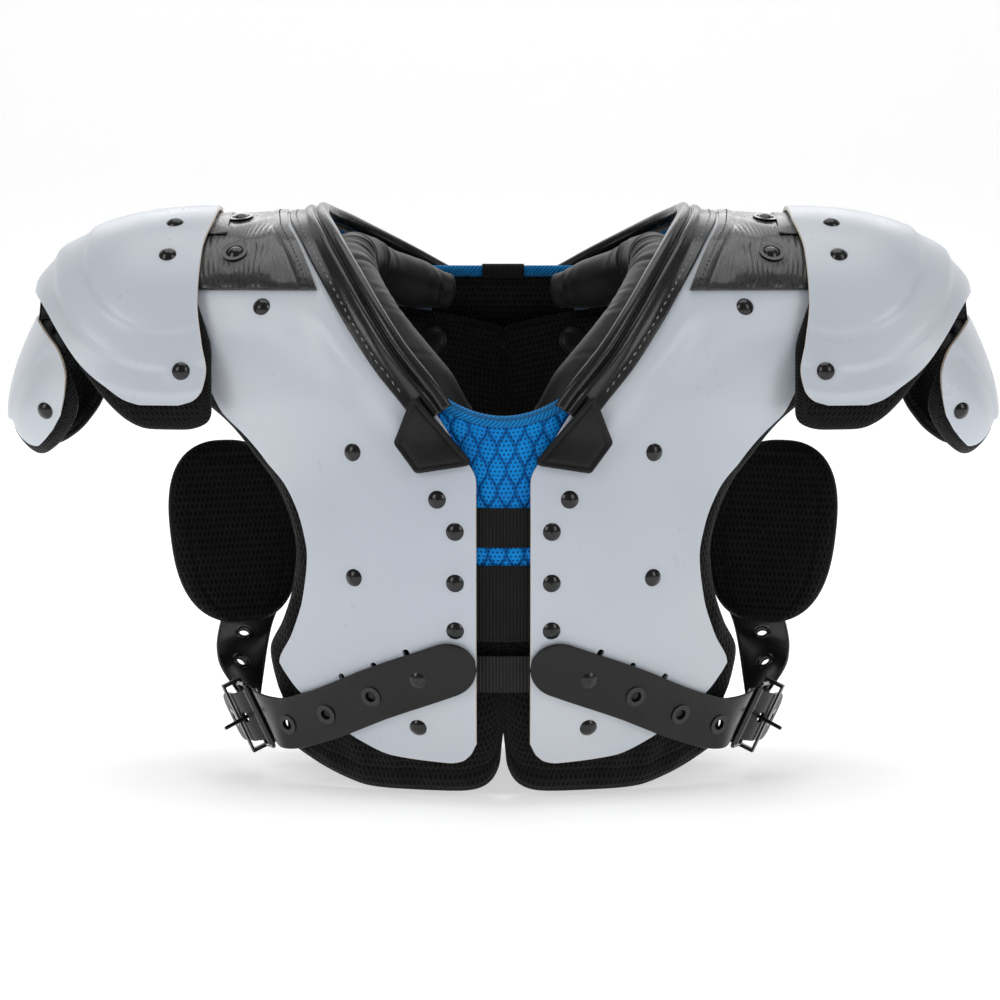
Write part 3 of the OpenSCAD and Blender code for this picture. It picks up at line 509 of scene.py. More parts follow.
def mat_binding(name, c1, c2, pitch=0.0022, sheen=0.2, tilt=0.5):
    """ribbed binding tape: slanted ribs along its length"""
    m, nt, b = new_mat(name); g = G(nt); u = g.uv(); s = g.sep(u)
    ph = g.math("ADD", g.math("MULTIPLY", s[1], 2 * math.pi / pitch), g.math("MULTIPLY", s[0], tilt * 2 * math.pi / pitch))
    w = g.math("SINE", ph)
    w = g.range(w, -0.6, 0.9, 0.0, 1.0)
    fine = g.math("ABSOLUTE", g.math("SINE", g.math("MULTIPLY", s[0], 2 * math.pi / 0.0011)))
    h = g.math("ADD", w, g.math("MULTIPLY", fine, 0.3))
    n = g.noise(g.obj(), 55.0, 3, 0.5)
    c = g.mix(g.range(n, 0.3, 0.7, 0, 1), c2, tuple(x * 0.8 for x in c2))
    # painted shade: the rib valleys take the darker colour c1
    g.link(g.mix(w, c1, c), b.inputs["Base Color"])
    g.link(g.bump(h, 0.9, 0.0008), b.inputs["Normal"])
    setp(b, Roughness=0.55, Sheen_Weight=sheen, Sheen_Roughness=0.35)
    return m

def mat_nylon():
    m, nt, b = new_mat("nylon_satin"); g = G(nt); u = g.uv(); s = g.sep(u); o = g.obj()
    a = g.math("SINE", g.math("MULTIPLY", g.math("ADD", s[0], s[1]), 2 * math.pi / 0.0009))
    c = g.math("SINE", g.math("MULTIPLY", g.math("SUBTRACT", s[0], s[1]), 2 * math.pi / 0.0013))
    w = g.math("MULTIPLY", a, c)
    big = g.noise(o, 25.0, 3, 0.5)
    g.link(g.mix(g.range(big, 0.3, 0.7, 0, 1), (0.003, 0.003, 0.0033), (0.007, 0.0067, 0.0073)), b.inputs["Base Color"])
    cre = g.noise(o, 90.0, 3, 0.55, 0.6)
    bp = g.bump(w, 0.12, 0.0004); bp = g.bump(cre, 0.25, 0.0012, bp)
    g.link(bp, b.inputs["Normal"])
    g.link(g.range(big, 0.3, 0.7, 0.40, 0.52), b.inputs["Roughness"])
    setp(b, Sheen_Weight=0.08, Sheen_Roughness=0.35)
    return m

# c1 is the painted shade in the rib valleys of the webbing
def mat_webbing(name="webbing", c1=(0.002, 0.002, 0.002), c2=(0.014, 0.014, 0.0145)):
    m, nt, b = new_mat(name); g = G(nt); u = g.uv(); s = g.sep(u)
    r = g.math("SINE", g.math("MULTIPLY", s[1], 2 * math.pi / 0.0021))
    r = g.range(r, -0.8, 0.8, 0.0, 1.0)
    t = g.math("ABSOLUTE", g.math("SINE", g.math("ADD", g.math("MULTIPLY", s[0], 2 * math.pi / 0.0016), g.math("MULTIPLY", s[1], 2 * math.pi / 0.0042))))
    h = g.math("ADD", r, g.math("MULTIPLY", t, 0.4))
    n = g.noise(g.obj(), 70.0, 3, 0.5)
    # painted shade: the low parts of the ribs and weave take the darker colour c1
    g.link(g.mix(g.range(h, 0.1, 1.2, 0, 1), c1, g.mix(g.range(n, .3, .7, 0, 1), c2, tuple(x * .7 for x in c2))), b.inputs["Base Color"])
    g.link(g.bump(h, 0.8, 0.0007), b.inputs["Normal"])
    setp(b, Roughness=0.6, Sheen_Weight=0.04, Sheen_Roughness=0.4)
    return m

def mat_metal(name, base, rough, wear=(0.16, 0.155, 0.15)):
    m, nt, b = new_mat(name); g = G(nt); o = g.obj()
    n = g.noise(o, 160.0, 4, 0.6, 0.3); f = g.noise(o, 700.0, 3, 0.6)
    w = g.range(g.math("MULTIPLY", n, f), 0.30, 0.36, 0.0, 0.06)
    g.link(g.mix(w, base, wear), b.inputs["Base Color"])
    g.link(g.range(n, 0.3, 0.7, rough[0], rough[1]), b.inputs["Roughness"])
    g.link(g.bump(f, 0.08, 0.0003), b.inputs["Normal"])
    setp(b, Metallic=0.55, Coat_Weight=0.5, Coat_Roughness=0.1)
    return m

def mat_thread(name, c):
    m, nt, b = new_mat(name); g = G(nt); u = g.uv(); s = g.sep(u)
    w = g.math("SINE", g.math("ADD", g.math("MULTIPLY", s[1], 9000.0), g.math("MULTIPLY", s[0], 3000.0)))
    n = g.noise(g.obj(), 300.0, 2, 0.5)
    g.link(g.mix(g.range(n, .3, .7, 0, 1), c, tuple(x * .7 for x in c)), b.inputs["Base Color"])
    g.link(g.bump(w, 0.5, 0.0003), b.inputs["Normal"])
    setp(b, Roughness=0.6)
    return m

M = {}
M["shell"] = mat_shell()
M["vinyl"] = mat_vinyl("vinyl_gloss", 0.35)
M["badge"] = mat_vinyl("badge_rubber", 0.12, (0.004, 0.004, 0.0045), (0.34, 0.46))
M["badge"].node_tree.nodes["Principled BSDF"].inputs["Coat Weight"].default_value = 0.05
M["strap"] = mat_strap()
M["belt"] = mat_vinyl("belt_vinyl", 0.18, (0.006, 0.0058, 0.0055), (0.26, 0.38))
# the first colour is the painted shade inside the mesh holes
M["mesh"] = mat_mesh("mesh_black", (0.001, 0.001, 0.0012), (0.012, 0.012, 0.013))
M["blue"] = mat_perf()
# the first colour of each binding is the painted shade in its rib valleys
M["bind"] = mat_binding("binding_black", (0.002, 0.002, 0.002), (0.014, 0.014, 0.015), sheen=0.05)
M["bindblue"] = mat_binding("binding_blue", (0.0, 0.13, 0.42), (0.004, 0.34, 0.80), 0.0026, 0.08, 0.9)
M["nylon"] = mat_nylon()
M["web"] = mat_webbing()
M["webgrey"] = mat_webbing("webbing_grey", (0.005, 0.005, 0.0055), (0.028, 0.028, 0.030))
M["rivet"] = mat_metal("rivet_enamel", (0.005, 0.005, 0.0055), (0.20, 0.34))
M["wire"] = mat_metal("wire_black", (0.014, 0.014, 0.015), (0.18, 0.32))
M["thread"] = mat_thread("thread_grey", (0.30, 0.30, 0.30))
M["threadk"] = mat_thread("thread_black", (0.006, 0.006, 0.006))

for k_, v_ in {"nylon": 0.25, "web": 0.15, "webgrey": 0.2, "bind": 0.15, "bindblue": 0.2, "blue": 0.15, "badge": 0.22, "belt": 0.25, "mesh": 0.1}.items():
    M[k_].node_tree.nodes["Principled BSDF"].inputs["Specular IOR Level"].default_value = v_
M["belt"].node_tree.nodes["Principled BSDF"].inputs["Coat Weight"].default_value = 0.08

SIDES = (("left", False), ("right", True))

def put(name, verts, faces, uv, mat, bodyname, nodes=(), attrs=None, sub=0):
    """left piece and its mirrored right copy; {s} in names stands for the side"""
    out = []
    for side, mir in SIDES:
        b = bodyname.replace("{s}", side)
        ob = make(f"{name}_{side}", verts, faces, uv, M[mat], b, [n.replace("{s}", side) for n in nodes], mir, attrs=attrs)
        if sub:
            m = ob.modifiers.new("sub", "SUBSURF"); m.levels = sub; m.render_levels = sub
        out.append(ob)
    return out

def put_slab(name, outer, inner, mat, bodyname, nodes=(), k=3, attrs=None, sub=0, uv=None, rimattr=False):
    v, f, uvs, tag, per = slab(outer, inner, k, uv)
    f = outward(v, f)
    a = dict(attrs or {})
    for key in list(a):
        arr = np.asarray(a[key]).reshape(-1)
        rimv = np.array([np.asarray(a[key])[i, j] for i, j in per])
        a[key] = np.concatenate([arr, arr] + [rimv] * k)
    # the rim mask carries the painted edge highlight of the shells
    if rimattr:
        a["rim"] = (tag == 2).astype(float)
    return put(name, v, f, uvs, mat, bodyname, nodes, a, sub)

def edge_dist(P):
    """distance in mm from each grid point to the nearest side, along the grid"""
    m, n = P.shape[:2]
    du = np.linalg.norm(np.diff(P, axis=0), axis=-1); dv = np.linalg.norm(np.diff(P, axis=1), axis=-1)
    a = np.concatenate([np.zeros((1, n)), np.cumsum(du, 0)], 0); b = np.concatenate([np.zeros((m, 1)), np.cumsum(dv, 1)], 1)
    A0, A1, B0, B1 = a, a[-1:] - a, b, b[:, -1:] - b
    k = 6.0
    return np.minimum(np.minimum(A0, A1), np.minimum(B0, B1)), (A0, A1, B0, B1)

def crown(d, R, p=2.0):
    q = np.clip(d / R, 0, 1)
    return (1 - (1 - q) ** p) ** (1 / p)

def perimeter(P):
    m, n = P.shape[:2]
    return np.concatenate([P[0, :-1], P[:-1, -1], P[-1, :0:-1], P[:0:-1, 0]])

def binding(name, G_out, G_in, mat, bodyname, inset=2.0, a=4.2, b=3.4, step=2.0, corner=14, where=None, k=14):
    """folded tape round the edge of a pad"""
    mid = (G_out + G_in) / 2; nrm = unit(G_out - G_in)
    P = perimeter(mid); N = perimeter(nrm)
    Q = np.vstack([P, P[:1]]); NN = np.vstack([N, N[:1]])
    d = np.concatenate([[0], np.cumsum(np.linalg.norm(np.diff(Q, axis=0), axis=1))])
    n = int(d[-1] / step); s = np.linspace(0, d[-1], n, endpoint=False)
    P = np.stack([np.interp(s, d, Q[:, c]) for c in range(3)], 1); N = unit(np.stack([np.interp(s, d, NN[:, c]) for c in range(3)], 1))
    P = smooth_path(P, corner, True); N = unit(smooth_path(N, corner, True))
    T = unit(np.roll(P, -1, 0) - np.roll(P, 1, 0)); B = np.cross(T, N)
    c = P.mean(0); sg = np.sign(((P - c) * B).sum()); B = B * sg
    P = P - B * inset
    # soft flattened section, slightly pinched where it is sewn
    th = np.linspace(0, 2 * np.pi, k, endpoint=False)
    sec = np.stack([b * np.sign(np.cos(th)) * np.abs(np.cos(th)) ** 0.85, a * np.sign(np.sin(th)) * np.abs(np.sin(th)) ** 0.85], 1)
    if where is not None:
        keep = where(P)
        idx = np.where(keep)[0]
        # rotate so that the kept run is contiguous
        gaps = np.where(np.diff(idx) > 1)[0]
        if len(idx) < len(P):
            start = idx[gaps[-1] + 1] if len(gaps) else idx[0]
            P = np.roll(P, -start, 0); N = np.roll(N, -start, 0); keep = np.roll(keep, -start)
            L = np.argmin(keep) if not keep.all() else len(P)
            P, N = P[:L], N[:L]
            v, f, uv = sweep(P, N, sec, False, True)
            return put(name, v, f, uv, mat, bodyname, ())
    v, f, uv = sweep(P, N, sec, True, False)
    return put(name, v, f, uv, mat, bodyname, ())

# ================================================================== arches
m_, n_ = ((230, 52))
def fine(n, e=0.35):
    """0..1, denser near the ends"""
    t = np.linspace(0, 1, n)
    return t - e * np.sin(2 * np.pi * t) / (2 * np.pi)
tj = fine(n_, 0.5)
a0 = smooth_lookup(U0, tj)
UU = a0[None] + (19 - 2 * a0[None]) * fine(m_, 0.45)[:, None]
XX = xi(UU) + (xo(UU) - xi(UU)) * tj[None]
dn = XX - xi(UU)
def ridge(u, d):
    w = sstep(4.9, 5.6, u) * (1 - sstep(6.8, 7.35, u)) + sstep(11.9, 12.4, u) * (1 - sstep(13.4, 14.1, u))
    return w * (1.25 * np.exp(-((d - 27) / 6.5) ** 2) - 0.5 * np.exp(-((d - 41) / 8) ** 2))
FR = [[146, 293], [89.5, 208], [89, 132], [39, 181], [28.5, 162], [28.5, 131], [28.5, 102], [51, 40]]
P0 = S(UU, XX)
mask = np.ones_like(UU)
for x, z in FR:
    for back in (False, True):
        u = float(ufb(x, z, back)); c = S(u, x)
        mask *= 1 - np.exp(-(np.linalg.norm(P0 - c, axis=-1) / 11) ** 4)
topm = 1 - sstep(6.9, 7.3, UU) * (1 - sstep(11.7, 12.1, UU))
rel = (ridge(UU, dn) + 0.28 * noise3(P0, 85, 5)) * mask * topm
arch_o = SO(UU, XX, 3.2 + rel); arch_i = SO(UU, XX, 0.0 + np.minimum(rel, 0))
shade = np.clip(0.5 + 0.5 * noise3(P0, 140, 11), 0, 1) * 0.35
arch = put_slab("shell_arch", arch_o, arch_i, "shell", "root", ["arch_{s}"], attrs={"shade": shade}, rimattr=True)

def cutters(points, name):
    """one mesh of capped cylinders: (centre, axis, radius, half length, stretch direction, stretch)"""
    V, F = [], []
    k = 28
    for c, ax, r, h, sd, st in points:
        ax = unit(np.asarray(ax, float)); q = unit(np.asarray(sd, float) - np.dot(sd, ax) * ax); w = np.cross(ax, q)
        b = len(V)
        for s in (-1, 1):
            for t in np.linspace(0, 2 * np.pi, k, endpoint=False):
                V.append(c + ax * s * h + q * (math.cos(t) * r + math.copysign(st, math.cos(t))) + w * math.sin(t) * r)
        F += [(b + j, b + (j + 1) % k, b + k + (j + 1) % k, b + k + j) for j in range(k)]
        F += [tuple(b + j for j in range(k - 1, -1, -1)), tuple(b + k + j for j in range(k))]
    return np.array(V), F

def cut(ob, pts, mirror):
    V, F = cutters(pts, ob.name)
    cu = make("cutter_tmp", V, F, None, None, None, mirror=mirror)
    m = ob.modifiers.new("cut", "BOOLEAN"); m.operation = "DIFFERENCE"; m.solver = "EXACT"; m.object = cu
    dg = bpy.context.evaluated_depsgraph_get()
    me = bpy.data.meshes.new_from_object(ob.evaluated_get(dg))
    ob.modifiers.remove(m); ob.data = me
    me.set_sharp_from_angle(angle=math.radians(38))
    bpy.data.objects.remove(cu)

slots = []
for x, z in ((57, 85.5), (76.5, 76), (96.5, 67.5)):
    u = float(ufront(x, z)); n = SN(u, x)
    slots.append((SO(u, x, 1.5), n, 2.1, 6, np.array([0.42, 0, 0.9]), 2.2))
for ob, (side, mir) in zip(arch, SIDES):
    cut(ob, slots, mir)

# ================================================================== collar
def edge_frame(u):
    u = np.asarray(u, float)
    p = S(u, xi(u)); t = unit(S(u + 0.3, xi(u + 0.3)) - S(u - 0.3, xi(u - 0.3)))
    n0 = SN(u, xi(u)); b = unit(np.cross(t, n0)); n = np.cross(b, t)
    return p, b, n
TRIM = np.array([[13, 3.5], [13, 4.7], [4, 5.1], [2.6, 7], [0, 7.8], [-2, 6.6], [-3, 5.6], [-4.5, 7.8], [-7.2, 8.8],
                 [-10, 7.4], [-11.2, 4.4], [-10.2, 1.4], [-7.2, -0.3], [-4, 0.2], [-1.4, 1.6], [-1.4, 3.7]])
def closed_cat(K, per):
    K = np.asarray(K, float); n = len(K); out = []
    for i in range(n):
        a, b, c, d = K[i - 1], K[i], K[(i + 1) % n], K[(i + 2) % n]
        for t in np.linspace(0, 1, per, endpoint=False):
            out.append(0.5 * (2 * b + (c - a) * t + (2 * a - 5 * b + 4 * c - d) * t ** 2 + (3 * b - a - 3 * c + d) * t ** 3))
    return np.array(out)
# the flange corners stay crisp
sec = np.vstack([[[13.2, 3.45], [13.5, 3.8], [13.5, 4.3], [13.1, 4.75], [12.4, 4.85], [8, 4.95], [4.6, 5.05]],
                 closed_cat(TRIM[2:15], 4)[4:-6], [[-1.5, 2.6], [-1.5, 3.3], [-1.2, 3.5], [4, 3.45], [9, 3.45]]])
us = np.linspace(5.62, 11.75, 300)
p, b, n = edge_frame(us)
p, b, n = smooth_path(p, 2), unit(smooth_path(b, 6)), unit(smooth_path(n, 6))
hs = 0.62 + 0.38 * sstep(5.62, 6.15, us)
V = p[:, None] + sec[None, :, 0, None] * b[:, None] + ((sec[None, :, 1] - 3.4) * hs[:, None] + 3.4)[..., None] * n[:, None]
k = len(sec)
arc = np.concatenate([[0], np.cumsum(np.linalg.norm(np.diff(p, axis=0), axis=1))])
sl = np.concatenate([[0], np.cumsum(np.linalg.norm(np.diff(sec, axis=0), axis=1))])
F = [(i * k + j, i * k + (j + 1) % k, (i + 1) * k + (j + 1) % k, (i + 1) * k + j) for i in range(len(us) - 1) for j in range(k)]
F += [tuple(range(k - 1, -1, -1)), tuple((len(us) - 1) * k + j for j in range(k))]
uvt = np.stack(np.broadcast_arrays(sl[None, :], arc[:, None]), -1).reshape(-1, 2) * MM
Vt = V.reshape(-1, 3); F = outward(Vt, F)
put("collar_bead", Vt, F, uvt, "vinyl", "root", ["collar_trim_{s}"])

# stitches on the flange
def along_edge(b_off, n_off, pitch, ua, ub):
    uu = np.linspace(ua, ub, 900); p, b, n = edge_frame(uu)
    Q = p + b_off * b + n_off * n
    d = np.concatenate([[0], np.cumsum(np.linalg.norm(np.diff(Q, axis=0), axis=1))])
    s = np.arange(pitch / 2, d[-1], pitch)
    P = np.stack([np.interp(s, d, Q[:, c]) for c in range(3)], 1); N = unit(np.stack([np.interp(s, d, n[:, c]) for c in range(3)], 1))
    T = np.stack([np.interp(s, d, np.gradient(Q[:, c])) for c in range(3)], 1)
    return P, unit(T), N, s
P, T, N, s = along_edge(9.3, 4.9, 5.6, 6.05, 11.6)
r0 = np.random.RandomState(3)
lens = 2.4 + 1.3 * r0.rand(len(P))
B = np.cross(T, N)
P = P + B * (r0.rand(len(P), 1) - 0.5) * 0.5
T = unit(T + B * (r0.rand(len(P), 1) - 0.5) * 0.35)
V, F, U = capsules(P, T, N, 3.0, 0.42, 0.12)
put("collar_stitch", V, F, U, "thread", "root", ())

# lining under the collar
lsec = np.array([[-3.4, -2.6], [-3.0, -2.3], [3.6, -2.3], [4.0, -2.6], [4.0, -4.8], [3.6, -5.1], [-3.0, -5.1], [-3.4, -4.8]])
us = np.linspace(6.05, 11.2, 200); p, b, n = edge_frame(us)
V = p[:, None] + lsec[None, :, 0, None] * b[:, None] + lsec[None, :, 1, None] * n[:, None]
k = len(lsec); arc = np.concatenate([[0], np.cumsum(np.linalg.norm(np.diff(p, axis=0), axis=1))])
sl = np.concatenate([[0], np.cumsum(np.linalg.norm(np.diff(lsec, axis=0), axis=1))])
F = [(i * k + j, i * k + (j + 1) % k, (i + 1) * k + (j + 1) % k, (i + 1) * k + j) for i in range(len(us) - 1) for j in range(k)]
F += [tuple(range(k - 1, -1, -1)), tuple((len(us) - 1) * k + j for j in range(k))]
V = V.reshape(-1, 3); F = outward(V, F)
put("collar_lining", V, F, np.stack(np.broadcast_arrays(sl[None, :], arc[:, None]), -1).reshape(-1, 2) * MM, "bindblue", "root", ["neck_lining_{s}"])

# ================================================================== neck rolls
ROLL = [[26, -112, 224], [42, -112, 242.5], [60, -101.5, 264], [80.5, -82, 288.5], [93.5, -49, 308.5], [97, -10, 319],
        [93, 27, 319], [79, 56, 310], [57, 76, 301.5], [34, 85, 296]]
RK, RM = ((44, 300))
t = np.linspace(0, 9, RM); P = cat(ROLL, t); d = np.concatenate([[0], np.cumsum(np.linalg.norm(np.diff(P, axis=0), axis=1))])
ref = np.stack([P[:, 0], P[:, 1] * 0.8, 0 * t], 1)
T = unit(np.gradient(P, axis=0)); A_ = unit(ref - (ref * T).sum(1, keepdims=True) * T); B_ = np.cross(T, A_)
th = np.linspace(0, 2 * np.pi, RK, endpoint=False)
endr = np.minimum(d, d[-1] - d)
R = 16.6 * (0.70 + 0.30 * sstep(0, 30, endr)) * np.where(endr < 3.0, np.sqrt(np.clip(1 - (1 - endr / 3.0) ** 2, 0.0, 1)) * 0.6 + 0.4, 1)
rr = np.random.RandomState(21)
h = np.zeros((RM, RK))
dd = d[:, None]; tt = th[None]
def crease(s0, c0, w, aw, dep, skew):
    a = np.angle(np.exp(1j * (tt - c0)))
    x = (dd - s0 - skew * a) / w
    env = np.exp(-(a / aw) ** 2)
    return env * dep * (-np.exp(-x ** 2) + 0.55 * np.exp(-((np.abs(x) - 1.9) / 1.1) ** 2))
apex = d[int(np.argmin(np.abs(t - 5.2)))]
for q in range(15):
    h += crease(apex + rr.normal() * 26, np.pi + rr.normal() * 0.5, 1.5 + rr.rand() * 1.3, 0.8 + rr.rand() * 0.7, 0.5 + rr.rand() * 0.9, rr.normal() * 3)
for q in range(34):
    h += crease(rr.rand() * d[-1], rr.rand() * 6.28, 1.6 + rr.rand() * 2.0, 0.45 + rr.rand() * 0.6, 0.25 + rr.rand() * 0.55, rr.normal() * 5)
for q in range(8):
    h += crease(rr.choice([0, 1]) * d[-1] + rr.normal() * 10, np.pi + rr.normal() * 0.8, 2.0, 0.9, 0.8, rr.normal() * 4)
h += 0.5 * noise1(dd * 0.05 + 0 * tt, 4) + 0.35 * np.sin(2 * tt + dd * 0.03)
rad = R[:, None] * np.ones_like(tt) + h * (R[:, None] / 16.6)
V = P[:, None] + rad[..., None] * (np.cos(tt)[..., None] * A_[:, None] + np.sin(tt)[..., None] * B_[:, None])
k = RK
F = [(i * k + j, i * k + (j + 1) % k, (i + 1) * k + (j + 1) % k, (i + 1) * k + j) for i in range(RM - 1) for j in range(k)]
F += [tuple(range(k - 1, -1, -1)), tuple((RM - 1) * k + j for j in range(k))]
uvr = np.stack(np.broadcast_arrays(tt * 16.6, dd), -1).reshape(-1, 2) * MM
V = V.reshape(-1, 3); F = outward(V, F)
put("neck_roll_cover", V, F, uvr, "nylon", "root", ["neck_roll_{s}"])

# ================================================================== badges
def inset_poly(P, d):
    P = np.asarray(P, float); n = len(P); L = []
    area = 0.5 * sum(P[i][0] * P[(i + 1) % n][1] - P[(i + 1) % n][0] * P[i][1] for i in range(n))
    sgn = 1 if area > 0 else -1
    for i in range(n):
        a, c = P[i], P[(i + 1) % n]; e = unit(c - a); nn = np.array([-e[1], e[0]]) * sgn
        L.append((a + nn * d, e))
    out = []
    for i in range(n):
        (a, e), (c, f) = L[i - 1], L[i]
        den = e[0] * f[1] - e[1] * f[0]
        s = ((c[0] - a[0]) * f[1] - (c[1] - a[1]) * f[0]) / den
        out.append(a + e * s)
    return np.array(out)
def round_poly(P, r, k=7, m=10):
    P = np.asarray(P, float); n = len(P); out = []
    for i in range(n):
        a, c, e = P[i - 1], P[i], P[(i + 1) % n]
        u1, u2 = unit(a - c), unit(e - c)
        ang = math.acos(np.clip(u1 @ u2, -1, 1)); q = min(r / math.tan(ang / 2), 0.45 * min(np.linalg.norm(a - c), np.linalg.norm(e - c)))
        s, f = c + u1 * q, c + u2 * q
        for t in np.linspace(0, 1, k):
            out.append((1 - t) ** 2 * s + 2 * t * (1 - t) * c + t * t * f)
        a2, e2 = P[(i + 1) % n], P[(i + 2) % n]
        u3, u4 = unit(c - a2), unit(e2 - a2); ang2 = math.acos(np.clip(u3 @ u4, -1, 1))
        q2 = min(r / math.tan(ang2 / 2), 0.45 * min(np.linalg.norm(c - a2), np.linalg.norm(e2 - a2)))
        g = a2 + u3 * q2
        for t in np.linspace(0, 1, m + 1)[1:-1]:
            out.append(f + (g - f) * t)
    return np.array(out)
BADGE = [(51.5, 243.0), (63.6, 214.5), (50.6, 196.6), (17.2, 202.2)]
def badge_pt(xy, o):
    x, z = xy[:, 0], xy[:, 1]
    return SO(ufront(x, z), x, o + 4.2 * sstep(214, 240, z))
rows = [(0.0, 3.6), (-0.25, 4.0), (-0.3, 6.6), (0.0, 7.5), (0.5, 8.0), (1.6, 8.05), (2.05, 7.6), (2.4, 7.0), (3.0, 6.95), (3.5, 7.35), (4.5, 7.5), (7.0, 7.6), (10.0, 7.65)]
rngs = []
for dI, o in rows:
    q = inset_poly(BADGE, dI) if dI != 0 else np.array(BADGE)
    rngs.append(badge_pt(round_poly(q, max(3.4 - dI, 0.4)), o))
kb = len(rngs[0]); Vb = np.concatenate(rngs + [[badge_pt(np.array([np.mean(inset_poly(BADGE, 10), 0)]), 7.65)[0]], [badge_pt(np.array([np.mean(BADGE, 0)]), 3.5)[0]]])
Fb = [(i * kb + j, i * kb + (j + 1) % kb, (i + 1) * kb + (j + 1) % kb, (i + 1) * kb + j) for i in range(len(rows) - 1) for j in range(kb)]
Fb += [((len(rows) - 1) * kb + j, (len(rows) - 1) * kb + (j + 1) % kb, len(rows) * kb) for j in range(kb)]
Fb += [((j + 1) % kb, j, len(rows) * kb + 1) for j in range(kb)]
Fb = outward(Vb, Fb)
put("collar_badge", Vb, Fb, (Vb[:, [0, 2]] - Vb[:, [0, 2]].mean(0)) * MM, "badge", "root", ["neck_badge_{s}"])
# stitches in the groove along the lower edges
q = inset_poly(BADGE, 2.7); E1 = []
for a, c in ((q[2], q[3]), (q[1], q[2])):
    L = np.linalg.norm(c - a)
    for s in np.arange(2.5, L - 2.0, 3.0):
        E1.append((a + (c - a) * s / L, (c - a) / L))
P = badge_pt(np.array([e[0] for e in E1]), 7.15); P2 = badge_pt(np.array([e[0] + e[1] * 0.5 for e in E1]), 7.15)
N = SN(ufront(np.array([e[0][0] for e in E1]), np.array([e[0][1] for e in E1])), np.array([e[0][0] for e in E1]))
V, F, U = capsules(P, unit(P2 - P), N, 2.1, 0.38, 0.1)
put("badge_stitch", V, F, U, "threadk", "root", ())

# ================================================================== straps over the shoulder
STX = [[0, 112], [0.16, 124], [0.3, 133], [0.5, 136], [0.7, 135], [0.85, 124], [1, 112]]
ni, nj = ((200, 100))
ti = np.linspace(0, 1, ni)[:, None]; tjx = np.linspace(0, 1, nj)[None]
x0 = smooth_lookup(STX, ti)
X = x0 + (185.5 - x0) * tjx
ua, ub = ufront(X, 302.0), uback(X, 302.0)
Ux = ua + (ub - ua) * ti
Pm = S(Ux, X)
# dimples round the rivets, creases spreading from them
wr = 0.16 * np.sin(X * 1.9 + 3.0 * noise3(Pm, 30, 31) + 0) * (0.5 + 0.5 * noise3(Pm, 22, 32)) + 0.35 * noise3(Pm, 26, 33)
for uq in (8.12, 9, 10, 10.88):
    c = S(uq, 164.0); dist = np.linalg.norm(Pm - c, axis=-1)
    wr = wr * (1 - np.exp(-(dist / 12) ** 4)) - 0.55 * np.exp(-((dist - 11) / 3.5) ** 2) * 0.7
edge = np.minimum(np.minimum(ti, 1 - ti) * 190, 20)
wr = wr * sstep(0, 4, edge)
xe = X - x0
flat = np.exp(-(xe / 9.5) ** 6)
wr = wr * (1 - flat) + flat * 0.45
bound = -0.5 * np.exp(-((xe - 10.5) / 0.9) ** 2)
o1 = SO(Ux, X, 5.4 + np.clip(wr, -0.9, 0.9) + bound); i1 = SO(Ux, X, 3.65 + 0 * X)
put_slab("shoulder_strap", o1, i1, "strap", "root", ["epaulet_strap_{s}"], attrs={"strip": flat})
tt_ = np.arange(0.015, 0.985, 0.0165)
xx = smooth_lookup(STX, tt_) + 5.0
uu = ufront(xx, 302.0) + (uback(xx, 302.0) - ufront(xx, 302.0)) * tt_
Pst = SO(uu, xx, 5.4 + 0.45); Nst = SN(uu, xx); Tst = unit(np.gradient(Pst, axis=0))
V, F, U = capsules(Pst, Tst, Nst, 2.3, 0.42, 0.05)
put("strap_stitch", V, F, U, "threadk", "root", ())

# ================================================================== epaulet cup
CX, CZ, CL, CRY, CRZ, PS, PP = 176, 240, 128, 108, 114, 0.97, 1.02
rad_ = np.radians
def cap3(phi, tau):
    e = np.cos(tau) ** 0.6; a = np.sin(tau) ** 0.8
    return np.stack(np.broadcast_arrays(CX + CL * a, CRY * e * np.sin(phi), CZ + CRZ * e * np.cos(phi)), -1)
def capN(phi, tau):
    return unit(np.cross(cap3(phi, tau + 0.006) - cap3(phi, np.maximum(tau - 0.006, 1e-4)), cap3(phi + 0.008, tau) - cap3(phi - 0.008, tau)))
def capO(phi, tau, o):
    return cap3(phi, tau) + np.asarray(o, float)[..., None] * capN(phi, tau)
def tau_x(x):
    return np.maximum(np.arcsin(np.maximum((x - CX) / CL, 0.0001) ** 1.25), rad_(0.5))
CUP_I = [[0, 178], [20, 180], [40, 185], [60, 186], [75, 183], [84, 180], [90, 182], [94, 188], [95.5, 197]]
CUP_O = [[0, 298], [20, 296], [40, 290], [60, 279], [75, 266], [84, 254], [90, 241], [94, 230], [95.5, 221]]
def sym(n, hi):
    """angles from -hi to hi, denser near the ends"""
    t = np.linspace(-1, 1, n)
    return hi * np.sin(t * np.pi / 2 * 0.96) / math.sin(np.pi / 2 * 0.96)
def cup_grids(m, n):
    ph = sym(m, 95.5)[:, None]; t = fine(n, 0.4)[None]
    xa, xb = smooth_lookup(CUP_I, np.abs(ph)), smooth_lookup(CUP_O, np.abs(ph))
    a, b = tau_x(xa), tau_x(xb)
    tau = a + (b - a) * t; phi = rad_(ph * PS) + 0 * tau
    return phi, tau
cm, cn = ((210, 110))
phi, tau = cup_grids(cm, cn)
Pc = cap3(phi, tau)
Dc = np.hypot(Pc[..., 0] - 205, Pc[..., 2] - 334.6)
rc = [55, 77, 94, 118]
rel = np.zeros_like(Dc)
for i in range(3):
    up = sstep(rc[i] - 2.5, rc[i] + 3.5, Dc); down = 1 - sstep(rc[i] + 3.5, rc[i + 1] - 1, Dc)
    rel -= (1.9, 1.8, 1.2)[i] * up * down
